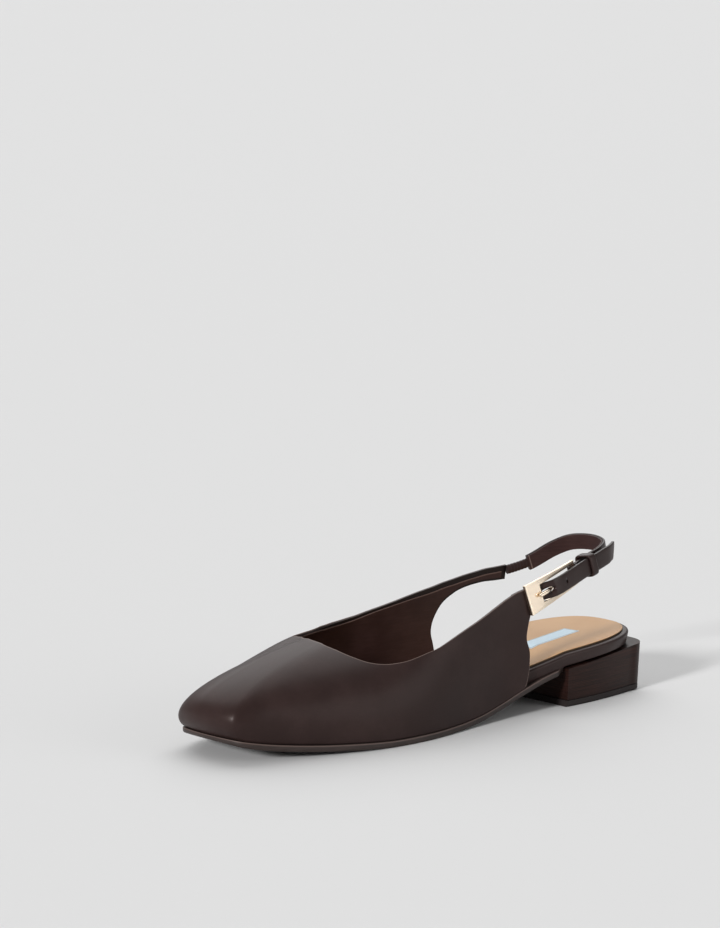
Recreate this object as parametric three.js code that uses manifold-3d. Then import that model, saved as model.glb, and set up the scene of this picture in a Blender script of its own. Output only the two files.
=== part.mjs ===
// A women's flat slingback shoe with a square toe, left foot, built as separate pieces.
// Millimetres. X runs from the heel to the toe, Y to the outer side of the foot, Z up from the floor.
// The origin is on the floor in the middle of the heel's rest face.

import * as THREE from 'three';
import { mergeVertices } from 'three/addons/utils/BufferGeometryUtils.js';
import Module from 'manifold-3d';

const wasm = await Module();
wasm.setup();

// Driving sizes
const soleLength = 250;
const ballHalfOuter = 41;
const ballHalfInner = 38.6;
const instepHeight = 46;
const toeSpring = 7.2;
const fit = 0.3;

const heelHeight = 18.3;
const heelRise = 4.75;
const heelLength = 57;
const heelHalfFront = 31;
const heelHalfBack = 23;
const heelBulge = 1.6;
const heelCorner = 9;
const heelDraw = 0.7;
const liftThickness = 3;
const liftBevel = 0.8;

const soleThickness = 3;
const toeThinning = 1;
const toeThinLength = 14;
const seatSoleThickness = 0.8;
const seatSoleInset = 2.6;
const soleBevel = 0.9;
const breastGap = 0.3;
const breastStep = 0.3;
const seatTaper = 6;

const rimHeight = 5.3;
const insoleThickness = 2.4;
const rimRound = 1.3;
const rimFlare = 0.8;
const sockThickness = 0.7;
const sockBorder = 2.7;
const sockSideGap = 0.6;

const upperWall = 1.6;
const wallBulge = 0.03;
const toeWallBulge = 0.067;
const toeBoxBulge = 0.048;

const strapWidth = 7.6;
const strapThickness = 2.2;
const strapLean = 9;
const strapSetback = 0.7;
const strapDrop = 14;
const loopWall = 1.0;
const stripChamfer = 0.35;
const tabRoot = 6;
const tabWidth = 8;
const tabRootWidth = 11;
const tabThickness = 1.8;
const tabLength = 67;
const tabTipLength = 8;
const tabTipWidth = 7.2;
const tabTipSlant = 0.8;
const tabHole = 1.7;
const tabHoleSpacing = 10.6;

const buckleLength = 37.5;
const buckleFront = 14.6;
const buckleRear = 11.6;
const plateDepth = 9.7;
const windowFront = 8.5;
const windowRear = 8.4;
const frameThickness = 1.8;
const barThickness = 1.8;
const prongThickness = 1.9;
const prongReach = 6.2;
const prongHoleAt = 13.8;
const prongRise = 8.5;
const prongSlotLength = 5.6;
const prongSlotWidth = 2.6;
const collarWall = 0.8;
const collarWidth = 2.2;

const keeperAt = 44.5;
const keeperWidth = 4.3;
const keeperThickness = 1.1;
const keeperChamfer = 0.6;

const elasticLength = 11;
const elasticHeight = 4.4;
const elasticThickness = 3.4;
const elasticPleats = 5;
const elasticPleatDepth = 0.2;

// Sections across the shoe, from the back of the heel seat to the tip of the toe.
// along: share of soleLength. outer, inner: sole edge, shares of ballHalfOuter and ballHalfInner.
// inset: sole edge to footbed edge, mm. ledge: sole edge to the foot of the upper, mm.
// ridgeAlong: share of soleLength. ridgeAside: share of ballHalfInner. crown: share of instepHeight.
// roundOuter, roundInner: exponents of the section's curve, 2 is an ellipse and more is squarer.
const sections = [
  // along, outer, inner, inset, ledge, ridgeAlong, ridgeAside, crown, roundOuter, roundInner
  [0.000, 0.000, 0.000, 0.0, 1.0, 0.000, 0.00, 1.70, 2.4, 2.4],
  [0.004, 0.232, 0.246, 0.0, 1.0, 0.004, 0.00, 1.70, 2.4, 2.4],
  [0.022, 0.444, 0.472, 0.0, 1.0, 0.022, 0.00, 1.70, 2.4, 2.4],
  [0.056, 0.605, 0.642, 0.0, 1.0, 0.056, 0.00, 1.75, 2.4, 2.4],
  [0.104, 0.702, 0.746, 0.0, 1.0, 0.104, 0.00, 1.80, 2.4, 2.4],
  [0.160, 0.737, 0.777, 0.0, 0.8, 0.160, 0.00, 1.87, 2.4, 2.4],
  [0.240, 0.739, 0.764, 0.0, 0.6, 0.240, 0.00, 2.02, 2.4, 2.4],
  [0.288, 0.737, 0.744, 0.4, 0.2, 0.288, 0.00, 2.08, 2.4, 2.4],
  [0.336, 0.744, 0.733, 2.4, 0.0, 0.336, 0.00, 2.11, 2.4, 2.4],
  [0.400, 0.763, 0.728, 2.6, 0.2, 0.400, 0.00, 2.00, 2.4, 2.4],
  [0.480, 0.844, 0.777, 2.8, 0.5, 0.480, -0.05, 1.74, 2.4, 2.4],
  [0.560, 0.946, 0.881, 3.1, 0.9, 0.560, -0.10, 1.35, 2.4, 2.4],
  [0.620, 0.995, 0.959, 3.4, 1.2, 0.605, -0.15, 1.14, 2.4, 2.4],
  [0.680, 1.000, 1.000, 3.6, 1.4, 0.600, -0.20, 1.048, 2.4, 2.4],
  [0.740, 0.966, 0.990, 3.8, 1.6, 0.590, -0.218, 1.012, 2.30, 2.39],
  [0.800, 0.893, 0.933, 3.9, 1.7, 0.588, -0.218, 1.012, 2.24, 2.32],
  [0.860, 0.800, 0.845, 4.0, 1.7, 0.588, -0.218, 1.012, 2.18, 2.05],
  [0.920, 0.680, 0.720, 4.0, 1.4, 0.588, -0.218, 1.012, 2.12, 1.79],
  [0.960, 0.580, 0.608, 4.0, 1.0, 0.588, -0.218, 1.012, 2.02, 1.64],
  [0.984, 0.470, 0.488, 4.0, 1.0, 0.588, -0.218, 1.012, 1.96, 1.64],
  [0.996, 0.248, 0.258, 4.0, 1.0, 0.588, -0.218, 1.012, 1.95, 1.82],
  [1.000, 0.000, 0.000, 4.0, 1.0, 0.588, -0.218, 1.012, 1.94, 1.94],
];
const sectionColumns = [
  'along', 'outer', 'inner', 'inset', 'ledge',
  'ridgeAlong', 'ridgeAside', 'crown', 'roundOuter', 'roundInner',
];
const tip = sections.length - 1;
const quarterSection = 8;
const toeSection = 14;

// Height of the sole's underside in front of the heel.
// along: share of soleLength. heelShare: share of heelHeight. toeShare: share of toeSpring.
const underside = [
  // along, heelShare, toeShare
  [0.228, 0.896, 0.0],
  [0.280, 0.743, 0.0],
  [0.336, 0.525, 0.0],
  [0.400, 0.251, 0.0],
  [0.460, 0.087, 0.0],
  [0.520, 0.020, 0.0],
  [0.600, 0.000, 0.0],
  [0.680, 0.000, 0.0],
  [0.760, 0.000, 0.12],
  [0.832, 0.000, 0.29],
  [0.884, 0.000, 0.46],
  [0.928, 0.000, 0.64],
  [0.966, 0.000, 0.85],
  [1.000, 0.000, 1.08],
];

// Thickness of the footbed, from the wrapped rim of the heel seat to the insole in front.
// along: share of soleLength. rimShare: 1 is the rim's height and 0 the insole's thickness.
const footbedRise = [
  // along, rimShare
  [0.000, 1.00],
  [0.260, 1.08],
  [0.336, 1.30],
  [0.400, 0.75],
  [0.470, 0.18],
  [0.540, 0.00],
  [1.000, 0.00],
];

// The upper's edges, one row for each line that runs up the wall from its foot to the topline.
// foot: section number and angle where the line starts. top: the same where it ends.
// Angle 0 is at the sole, 90 on the ridge, in degrees.
const outerLines = [
  // footSection, footAngle, topSection, topAngle
  [7.72, 19.0, 7.90, 28.3],
  [7.86, 16.0, 8.30, 28.7],
  [7.96, 12.0, 8.70, 28.5],
  [7.82, 8.0, 9.05, 28.3],
  [7.82, 4.5, 9.35, 28.3],
  [7.88, 2.0, 9.60, 28.5],
  [8.03, 0.0, 9.85, 28.9],
  [8.50, 0.0, 10.15, 29.8],
  [9.00, 0.0, 10.45, 31.2],
  [9.60, 0.0, 10.75, 32.8],
  [10.30, 0.0, 11.10, 34.7],
  [11.00, 0.0, 11.50, 36.9],
  [11.70, 0.0, 12.00, 38.8],
  [12.50, 0.0, 12.60, 40.6],
  [13.20, 0.0, 13.20, 42.8],
  [14.00, 0.0, 14.00, 47.0],
  [15.00, 0.0, 15.00, 53.6],
  [16.00, 0.0, 16.00, 59.7],
  [17.00, 0.0, 17.00, 63.9],
  [18.00, 0.0, 18.00, 65.8],
  [19.00, 0.0, 19.00, 66.4],
  [20.00, 0.0, 20.00, 67.0],
  [21.00, 0.0, 21.00, 67.5],
];
const innerLines = [
  // footSection, footAngle, topSection, topAngle
  [5.20, 23.0, 5.20, 30.0],
  [5.60, 22.2, 5.60, 28.3],
  [6.20, 21.6, 6.20, 26.6],
  [7.00, 20.9, 7.00, 25.8],
  [7.50, 19.8, 7.70, 25.2],
  [8.05, 17.8, 8.35, 25.7],
  [8.40, 14.0, 8.75, 26.7],
  [8.48, 10.0, 9.05, 27.6],
  [8.37, 6.0, 9.30, 28.4],
  [8.28, 2.5, 9.55, 29.3],
  [8.25, 0.0, 9.80, 30.3],
  [8.70, 0.0, 10.10, 31.9],
  [9.30, 0.0, 10.40, 34.4],
  [10.00, 0.0, 10.75, 38.1],
  [10.70, 0.0, 11.10, 42.3],
  [11.40, 0.0, 11.60, 47.8],
  [12.10, 0.0, 12.15, 53.6],
  [13.00, 0.0, 13.00, 60.4],
  [14.00, 0.0, 14.00, 63.9],
  [15.00, 0.0, 15.00, 59.4],
  [16.00, 0.0, 16.00, 62.4],
  [17.00, 0.0, 17.00, 64.4],
  [18.00, 0.0, 18.00, 65.1],
  [19.00, 0.0, 19.00, 65.8],
  [20.00, 0.0, 20.00, 66.8],
  [21.00, 0.0, 21.00, 67.5],
];
const lineColumns = ['footSection', 'footAngle', 'topSection', 'topAngle'];

// The sling's outer face in the middle of its width, from the outer quarter round the heel to the
// inner quarter. along: share of soleLength. aside: share of ballHalfOuter, or of ballHalfInner below 0.
// height: share of instepHeight.
const slingRoute = [
  // along, aside, height
  [0.3795, 0.714, 1.091],
  [0.3315, 0.702, 1.156],
  [0.2755, 0.664, 1.234],
  [0.2260, 0.603, 1.296],
  [0.176, 0.530, 1.357],
  [0.128, 0.480, 1.409],
  [0.0855, 0.404, 1.452],
  [0.0565, 0.270, 1.485],
  [0.0450, 0.000, 1.500],
  [0.0565, -0.297, 1.478],
  [0.0835, -0.463, 1.406],
  [0.128, -0.596, 1.275],
  [0.172, -0.682, 1.214],
];

// Where the tab's middle lies outside the sling's face, from under the plate to over the bar.
const tabRise = [
  // from the plate's front edge in mm, out in mm
  [-6.0, -0.9],
  [9.5, -0.9],
  [11.2, -0.2],
  [13.8, 2.4],
  [16.6, 4.1],
  [22.0, 4.7],
  [40.0, 4.8],
  [60.0, 4.0],
  [67.0, 3.7],
];

// Smooth curves through tables

// Cubic through one column of a table, with the row number as the position. mirror turns the
// column's sign past the last row, for a width that passes through zero at the tip.
function atRow(table, column, row, mirror = false) {
  const last = table.length - 1;
  const at = Math.min(Math.max(row, 0), last);
  const start = Math.min(Math.floor(at), last - 1);
  const part = at - start;
  const value = index => {
    if (index < 0) return 2 * table[0][column] - table[1][column];
    if (index > last) return (mirror ? -1 : 1) * table[last - 1][column];
    return table[index][column];
  };
  const from = value(start);
  const to = value(start + 1);
  const slopeFrom = (to - value(start - 1)) / 2;
  const slopeTo = (value(start + 2) - from) / 2;
  const square = part * part;
  const cube = square * part;
  return (2 * cube - 3 * square + 1) * from + (cube - 2 * square + part) * slopeFrom
    + (3 * square - 2 * cube) * to + (cube - square) * slopeTo;
}

// Value of a table's column at a position in its first column, along a curve that never overshoots.
function atPlace(table, column, place) {
  const last = table.length - 1;
  const at = Math.min(Math.max(place, table[0][0]), table[last][0]);
  let start = 0;
  while (start < last - 1 && at > table[start + 1][0]) start += 1;
  const step = index => table[index + 1][0] - table[index][0];
  const slope = index => (table[index + 1][column] - table[index][column]) / step(index);
  const tangent = index => {
    if (index === 0) return slope(0);
    if (index === last) return slope(last - 1);
    const before = slope(index - 1);
    const after = slope(index);
    return before * after <= 0 ? 0 : 2 * before * after / (before + after);
  };
  const width = step(start);
  const part = (at - table[start][0]) / width;
  const square = part * part;
  const cube = square * part;
  return (2 * cube - 3 * square + 1) * table[start][column]
    + (cube - 2 * square + part) * width * tangent(start)
    + (3 * square - 2 * cube) * table[start + 1][column]
    + (cube - square) * width * tangent(start + 1);
}

const sectionValue = (name, section, mirror = false) =>
  atRow(sections, sectionColumns.indexOf(name), section, mirror);

function sectionAt(distance) {
  let low = 0;
  let high = tip;
  for (let turn = 0; turn < 40; turn += 1) {
    const middle = (low + high) / 2;
    if (sectionValue('along', middle) * soleLength < distance) low = middle;
    else high = middle;
  }
  return (low + high) / 2;
}

// Heights along the shoe

const heelTop = x => heelHeight + heelRise * (1 - x / heelLength);

const breastX = heelLength + breastGap + breastStep / 2;

// How far the sole's underside rises at the tip of the toe, where the sole is pared thin.
function toeParing(x) {
  return toeThinning * Math.max(1 - (soleLength - x) / toeThinLength, 0) ** 2;
}

function soleBottom(x) {
  const along = x / soleLength;
  if (x < breastX) return heelTop(x) + fit;
  const front = heelHeight * atPlace(underside, 1, along) + toeSpring * atPlace(underside, 2, along);
  return front + toeParing(x);
}

function soleTop(x) {
  if (x < breastX) return heelTop(x) + fit + seatSoleThickness;
  return soleBottom(x) - toeParing(x) + soleThickness;
}

const footbedBottom = x => soleTop(x) + fit;
const footbedTop = x => footbedBottom(x) + insoleThickness
  + (rimHeight - insoleThickness) * atPlace(footbedRise, 1, x / soleLength);

// Outlines in plan

// Point of the sole's edge at a section, moved inwards by inset.
function edgePoint(section, side, inset) {
  const name = side > 0 ? 'outer' : 'inner';
  const half = side > 0 ? ballHalfOuter : ballHalfInner;
  const place = at => new THREE.Vector2(
    sectionValue('along', at) * soleLength,
    side * half * sectionValue(name, at, true),
  );
  const step = 0.001;
  const start = Math.max(section - step, 0);
  const end = Math.min(section + step, tip);
  const point = place(section);
  if (section <= 0) return new THREE.Vector2(point.x + inset, 0);
  if (section >= tip) return new THREE.Vector2(point.x - inset, 0);
  const along = place(end).sub(place(start)).normalize();
  return new THREE.Vector2(point.x + along.y * side * inset, point.y - along.x * side * inset);
}

// Both edges of a slab at each section: outline points of one loop, at the height of each point.
function slabLoop(rows, inset, height) {
  const side = sign => rows.map(row => {
    const point = edgePoint(row, sign, typeof inset === 'function' ? inset(row) : inset);
    return new THREE.Vector3(point.x, point.y, height(point.x));
  });
  return { outer: side(1), inner: side(-1) };
}

function spread(from, to, count) {
  return Array.from({ length: count + 1 }, (_, index) => from + (to - from) * index / count);
}

// Closed meshes

function solidGeometry(vertices, faces) {
  const positions = new Float32Array(vertices.flatMap(point => [point.x, point.y, point.z]));
  const geometry = new THREE.BufferGeometry();
  geometry.setAttribute('position', new THREE.BufferAttribute(positions, 3));
  geometry.setIndex(faces.flat());
  const merged = mergeVertices(geometry, 0.002);
  const index = merged.index.array;
  const kept = [];
  for (let face = 0; face < index.length; face += 3) {
    const [a, b, c] = [index[face], index[face + 1], index[face + 2]];
    if (a !== b && b !== c && c !== a) kept.push(a, b, c);
  }
  merged.setIndex(kept);
  return merged;
}

function toManifold(geometry) {
  return new wasm.Manifold(new wasm.Mesh({
    numProp: 3,
    vertProperties: new Float32Array(geometry.attributes.position.array),
    triVerts: new Uint32Array(geometry.index.array),
  }));
}

function toGeometry(solid) {
  const mesh = solid.getMesh();
  const geometry = new THREE.BufferGeometry();
  const points = new Float32Array(mesh.vertProperties);
  geometry.setAttribute('position', new THREE.BufferAttribute(points, 3));
  geometry.setIndex(Array.from(mesh.triVerts));
  return geometry;
}

// A slab from loops that run from its top to its bottom, with ladder-like caps.
function slabSolid(loops) {
  const vertices = [];
  const faces = [];
  const rows = loops[0].outer.length;
  const around = loops.map(loop => {
    const first = vertices.length;
    vertices.push(...loop.outer, ...loop.inner.slice().reverse());
    return first;
  });
  const count = 2 * rows;
  for (let level = 0; level < loops.length - 1; level += 1) {
    for (let at = 0; at < count; at += 1) {
      const next = (at + 1) % count;
      const [a, b] = [around[level] + at, around[level] + next];
      const [c, d] = [around[level + 1] + at, around[level + 1] + next];
      faces.push([a, b, d], [a, d, c]);
    }
  }
  const cap = (first, flip) => {
    for (let row = 0; row < rows - 1; row += 1) {
      const [a, b] = [first + row, first + row + 1];
      const [c, d] = [first + count - 1 - row, first + count - 2 - row];
      if (flip) faces.push([a, b, d], [a, d, c]);
      else faces.push([a, d, b], [a, c, d]);
    }
  };
  cap(around[0], false);
  cap(around[loops.length - 1], true);
  return solidGeometry(vertices, faces);
}

// A solid through closed sections of equal count, capped at both ends, or joined end to start.
function loftSolid(rings, closed = false) {
  const vertices = rings.flat();
  const count = rings[0].length;
  const faces = [];
  const spans = closed ? rings.length : rings.length - 1;
  for (let ring = 0; ring < spans; ring += 1) {
    const here = ring * count;
    const there = ((ring + 1) % rings.length) * count;
    for (let at = 0; at < count; at += 1) {
      const next = (at + 1) % count;
      faces.push([here + at, here + next, there + next], [here + at, there + next, there + at]);
    }
  }
  if (!closed) {
    const end = (rings.length - 1) * count;
    for (let at = 1; at < count - 1; at += 1) {
      faces.push([0, at + 1, at], [end, end + at, end + at + 1]);
    }
  }
  return solidGeometry(vertices, faces);
}

// A wall between an outer and an inner grid of points, closed by strips along its four edges.
function wallSolid(outside, inside) {
  const rows = outside.length;
  const columns = outside[0].length;
  const vertices = [...outside.flat(), ...inside.flat()];
  const back = rows * columns;
  const faces = [];
  const at = (row, column) => row * columns + column;
  for (let row = 0; row < rows - 1; row += 1) {
    for (let column = 0; column < columns - 1; column += 1) {
      const [a, b] = [at(row, column), at(row, column + 1)];
      const [c, d] = [at(row + 1, column), at(row + 1, column + 1)];
      faces.push([a, b, d], [a, d, c], [back + a, back + d, back + b], [back + a, back + c, back + d]);
    }
  }
  const strip = (a, b) => faces.push([a, b, back + b], [a, back + b, back + a]);
  for (let row = 0; row < rows - 1; row += 1) {
    strip(at(row, 0), at(row + 1, 0));
    strip(at(row + 1, columns - 1), at(row, columns - 1));
  }
  for (let column = 0; column < columns - 1; column += 1) {
    strip(at(0, column + 1), at(0, column));
    strip(at(rows - 1, column), at(rows - 1, column + 1));
  }
  return solidGeometry(vertices, faces);
}

// Turns a mesh right side out, whichever way its sections were listed.
function facingOut(geometry) {
  const points = geometry.attributes.position;
  const index = geometry.index.array;
  const corner = [0, 1, 2].map(() => new THREE.Vector3());
  let volume = 0;
  for (let face = 0; face < index.length; face += 3) {
    corner.forEach((vector, slot) => vector.fromBufferAttribute(points, index[face + slot]));
    volume += corner[0].dot(corner[1].clone().cross(corner[2]));
  }
  if (volume > 0) return geometry;
  const turned = Array.from(index);
  for (let face = 0; face < turned.length; face += 3) {
    [turned[face + 1], turned[face + 2]] = [turned[face + 2], turned[face + 1]];
  }
  geometry.setIndex(turned);
  return geometry;
}

// The last's surface

// Point of the upper's outer face. angle runs from 0 at the foot of the wall to 90 on the ridge,
// along an arc of cos and sin raised to 2 / roundness, between the foot and the ridge point.
function lastPoint(section, angle, side) {
  const foot = edgePoint(section, side, sectionValue('ledge', section));
  const roundness = sectionValue(side > 0 ? 'roundOuter' : 'roundInner', section);
  const turn = THREE.MathUtils.degToRad(angle);
  const toe = THREE.MathUtils.clamp((section - toeSection) / 5, 0, 1);
  const bulge = wallBulge + (toeWallBulge - wallBulge) * toe;
  const box = toeBoxBulge * toe;
  const reach = Math.cos(turn) ** (2 / roundness) + bulge * Math.sin(2 * turn) + box * Math.sin(4 * turn);
  const rise = Math.sin(turn) ** (2 / roundness);
  const ridgeX = sectionValue('ridgeAlong', section) * soleLength;
  const ridgeY = sectionValue('ridgeAside', section) * ballHalfInner;
  const base = soleTop(THREE.MathUtils.clamp(foot.x, 0, soleLength)) + fit;
  const crown = sectionValue('crown', section) * instepHeight;
  return new THREE.Vector3(
    ridgeX + (foot.x - ridgeX) * reach,
    ridgeY + (foot.y - ridgeY) * reach,
    base + (crown - base) * rise,
  );
}

// Direction out of the upper's outer face, square to the surface on both sides of the point.
function lastNormal(section, angle, side) {
  const step = 0.02;
  const turn = 0.5;
  const along = lastPoint(Math.min(section + step, tip), angle, side);
  along.sub(lastPoint(section - step, angle, side));
  const up = lastPoint(section, angle + turn, side).sub(lastPoint(section, Math.max(angle - turn, 0), side));
  return up.cross(along).multiplyScalar(side).normalize();
}

// A line of the upper, from its foot to its top edge: pairs of points on the outer and inner faces.
function upperLine(lines, row, side, steps) {
  const value = name => atRow(lines, lineColumns.indexOf(name), row);
  const [footSection, footAngle] = [value('footSection'), Math.max(value('footAngle'), 0)];
  const [topSection, topAngle] = [value('topSection'), value('topAngle')];
  return spread(0, 1, steps).map(share => {
    const section = Math.min(footSection + (topSection - footSection) * share, tip);
    const angle = footAngle + (topAngle - footAngle) * share;
    const outside = lastPoint(section, angle, side);
    const normal = lastNormal(section, angle, side);
    if (share === 0 && footAngle === 0) normal.setZ(0).normalize();
    return { outside, inside: outside.clone().addScaledVector(normal, -upperWall) };
  });
}

// The upper's lines from the outer quarter's back edge round the toe to the inner quarter's.
function upperLines() {
  const steps = 9;
  const rowsOf = lines => {
    const last = lines.length - 1;
    return [...spread(0, last - 7, 2 * (last - 7)), ...spread(last - 7, last, 21).slice(1)];
  };
  const outerRows = rowsOf(outerLines).map(row => upperLine(outerLines, row, 1, steps));
  const innerRows = rowsOf(innerLines).map(row => upperLine(innerLines, row, -1, steps));
  return [...outerRows, ...innerRows.reverse().slice(1)];
}

// The sling's route

const slingPlaces = slingRoute.map(([along, aside, height]) => [
  along * soleLength,
  aside * (aside < 0 ? ballHalfInner : ballHalfOuter),
  height * instepHeight,
]);
const slingPoints = spread(0, slingPlaces.length - 1, 20 * (slingPlaces.length - 1)).map(row =>
  new THREE.Vector3(...[0, 1, 2].map(axis => atRow(slingPlaces, axis, row))));
const slingRun = slingPoints.reduce((run, point, index) => {
  if (index > 0) run.push(run[index - 1] + point.distanceTo(slingPoints[index - 1]));
  return run;
}, [0]);
const plateRow = 20;
const plateRun = slingRun[plateRow];
const slingEnd = slingRun[slingRun.length - 1] - plateRun;

// Place and directions at a distance behind the plate's front edge.
function slingFrame(distance) {
  const run = THREE.MathUtils.clamp(distance + plateRun, 0, slingRun[slingRun.length - 1]);
  let index = 0;
  while (index < slingRun.length - 2 && run > slingRun[index + 1]) index += 1;
  const part = (run - slingRun[index]) / (slingRun[index + 1] - slingRun[index]);
  const origin = slingPoints[index].clone().lerp(slingPoints[index + 1], part);
  const before = slingPoints[Math.max(index - 2, 0)];
  const after = slingPoints[Math.min(index + 3, slingPoints.length - 1)];
  const tangent = after.clone().sub(before).normalize();
  const out = new THREE.Vector3(-tangent.y, tangent.x, 0).normalize().negate();
  const upright = out.clone().cross(tangent).normalize();
  const up = upright.z > 0 ? upright : upright.negate();
  const lean = THREE.MathUtils.degToRad(strapLean);
  const leaned = up.clone().multiplyScalar(Math.cos(lean)).addScaledVector(out, -Math.sin(lean));
  const normal = out.clone().multiplyScalar(Math.cos(lean)).addScaledVector(up, Math.sin(lean));
  return { origin, tangent, up: leaned, out: normal };
}

// A point given by its distance along the sling, height across it and distance outside its face.
function slingPoint(distance, across, out) {
  const frame = slingFrame(distance);
  const overshoot = distance - THREE.MathUtils.clamp(distance, -plateRun, slingEnd);
  return frame.origin.clone()
    .addScaledVector(frame.tangent, overshoot)
    .addScaledVector(frame.up, across)
    .addScaledVector(frame.out, out);
}

// Flat strip along the sling with chamfered edges. slant moves a point along by its height across.
function strip(places, width, middle, thickness, slant = () => 0) {
  const cut = stripChamfer;
  return facingOut(loftSolid(places.map(place => {
    const half = width(place) / 2;
    const [low, high] = [middle(place) - thickness / 2, middle(place) + thickness / 2];
    return [
      [half - cut, high], [half, high - cut], [half, low + cut], [half - cut, low],
      [-half + cut, low], [-half, low + cut], [-half, high - cut], [-half + cut, high],
    ].map(([across, out]) => slingPoint(place + across * slant(place), across, out));
  })));
}

// Tube between two heights across the sling, about a point beside it.
function crossTube(place, out, radius, low, high, sides = 12) {
  const frame = slingFrame(place);
  const centre = slingPoint(place, 0, out);
  return facingOut(loftSolid([low, high].map(across => spread(0, 1, sides).slice(0, -1).map(share => {
    const turn = 2 * Math.PI * share;
    return centre.clone()
      .addScaledVector(frame.up, across)
      .addScaledVector(frame.tangent, radius * Math.cos(turn))
      .addScaledVector(frame.out, radius * Math.sin(turn));
  }))));
}

// Pieces

function makeOutsole() {
  const behind = sectionAt(breastX - breastStep / 2);
  const breast = sectionAt(breastX + breastStep / 2);
  const waist = sectionAt(breastX + seatTaper);
  const rows = [
    ...spread(0, behind, 12),
    ...spread(breast, waist, 4),
    ...spread(waist, toeSection, 17).slice(1),
    ...spread(toeSection, tip, 21).slice(1),
  ];
  const recess = row => seatSoleInset * (1 - THREE.MathUtils.smoothstep(row, breast, waist));
  const bevelTop = x => soleBottom(x) + Math.min(soleBevel, (soleTop(x) - soleBottom(x)) / 2);
  return slabSolid([
    slabLoop(rows, recess, soleTop),
    slabLoop(rows, recess, bevelTop),
    slabLoop(rows, row => recess(row) + soleBevel, soleBottom),
  ]);
}

// Places and half-widths of the heel block's outline: sides that draw in from the breast, then a
// rounded corner whose arc is raised to cornerAlong and cornerAcross, below 1 for a squarer back.
function heelOutline(inset) {
  const cornerAlong = 0.8;
  const cornerAcross = 0.42;
  const sideAt = x => heelHalfBack + (heelHalfFront - heelHalfBack) * Math.sin(Math.PI / 2 * x / heelLength);
  const sides = spread(heelLength, heelCorner, 7).map(x => [x, sideAt(x)]);
  const corner = spread(0, Math.PI / 2, 6).slice(1).map(turn => [
    heelCorner - (heelCorner + heelBulge) * Math.sin(turn) ** cornerAlong,
    sideAt(heelCorner) * Math.cos(turn) ** cornerAcross,
  ]);
  return [...sides, ...corner].map(([x, half]) => {
    const pull = THREE.MathUtils.clamp(1 - 2 * x / heelLength, 0, 1);
    return [x + inset * pull, Math.max(half - inset, 0)];
  });
}

function heelLoop(inset, height) {
  const outline = heelOutline(inset);
  const side = sign => outline.map(([x, half]) => new THREE.Vector3(x, sign * half, height(x))).reverse();
  return { outer: side(1), inner: side(-1) };
}

function makeHeelBlock() {
  return slabSolid([
    heelLoop(0, heelTop),
    heelLoop(heelDraw, () => liftThickness + fit),
  ]);
}

function makeTopLift() {
  return slabSolid([
    heelLoop(heelDraw, () => liftThickness),
    heelLoop(heelDraw, () => liftBevel),
    heelLoop(heelDraw + liftBevel, () => 0),
  ]);
}

function makeFootbed() {
  const rows = [...spread(0, toeSection, 42), ...spread(toeSection, tip, 18).slice(1)];
  const inset = extra => row => sectionValue('inset', row) + extra;
  const depth = share => x => footbedBottom(x) + (footbedTop(x) - footbedBottom(x)) * share;
  const roundDepth = x => Math.min(rimRound, (footbedTop(x) - footbedBottom(x)) / 2);
  return slabSolid([
    slabLoop(rows, inset(rimRound), footbedTop),
    slabLoop(rows, inset(0), x => footbedTop(x) - roundDepth(x)),
    slabLoop(rows, inset(rimFlare / 2), depth(0.35)),
    slabLoop(rows, inset(rimFlare), footbedBottom),
  ]);
}

function makeSock() {
  const rows = [...spread(0, toeSection, 36), ...spread(toeSection, tip, 16).slice(1)];
  const inset = row => {
    const covered = THREE.MathUtils.smoothstep(row, quarterSection, quarterSection + 1);
    return sectionValue('inset', row) + sockBorder + (rimRound + sockSideGap - sockBorder) * covered;
  };
  return slabSolid([
    slabLoop(rows, inset, x => footbedTop(x) + fit + sockThickness),
    slabLoop(rows, inset, x => footbedTop(x) + fit),
  ]);
}

function makeUpper() {
  const lines = upperLines();
  const face = name => lines.map(line => line.map(pair => pair[name]));
  const shell = facingOut(wallSolid(face('outside'), face('inside')));
  const middle = place => atPlace(tabRise, 1, place);
  const tipping = place => THREE.MathUtils.smoothstep(place, tabLength - tabTipLength, tabLength);
  const width = place => {
    const narrowing = THREE.MathUtils.smoothstep(place, -2, plateDepth);
    return tabRootWidth + (tabWidth - tabRootWidth) * narrowing + (tabTipWidth - tabWidth) * tipping(place);
  };
  const [climb, level] = [plateDepth, prongHoleAt + prongRise];
  const places = [
    ...spread(-tabRoot, climb, 6),
    ...spread(climb, level, 14).slice(1),
    ...spread(level, tabLength, 16).slice(1),
  ];
  const tab = strip(places, width, middle, tabThickness, place => tabTipSlant * tipping(place));
  const slot = strip(
    spread(prongHoleAt - prongSlotLength / 2, prongHoleAt + prongSlotLength / 2, 4),
    () => prongSlotWidth,
    () => middle(prongHoleAt),
    cutterLength,
  );
  const hole = tabHoleCutter(prongHoleAt + tabHoleSpacing);
  const cut = toManifold(slot).add(toManifold(hole));
  return toGeometry(toManifold(shell).add(toManifold(tab)).subtract(cut));
}

const cutterLength = 6 * tabThickness;

// Round cutter through the tab at a distance along it.
function tabHoleCutter(place) {
  const frame = slingFrame(place);
  const centre = slingPoint(place, 0, atPlace(tabRise, 1, place));
  const ends = [-cutterLength / 2, cutterLength / 2];
  return facingOut(loftSolid(ends.map(out => spread(0, 1, 8).slice(0, -1).map(share => {
    const turn = 2 * Math.PI * share;
    return centre.clone()
      .addScaledVector(frame.out, out)
      .addScaledVector(frame.tangent, tabHole / 2 * Math.cos(turn))
      .addScaledVector(frame.up, tabHole / 2 * Math.sin(turn));
  }))));
}

const barAt = buckleLength - barThickness / 2;
const barOut = fit + frameThickness / 2;
const strapStart = buckleLength + strapSetback;

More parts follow.
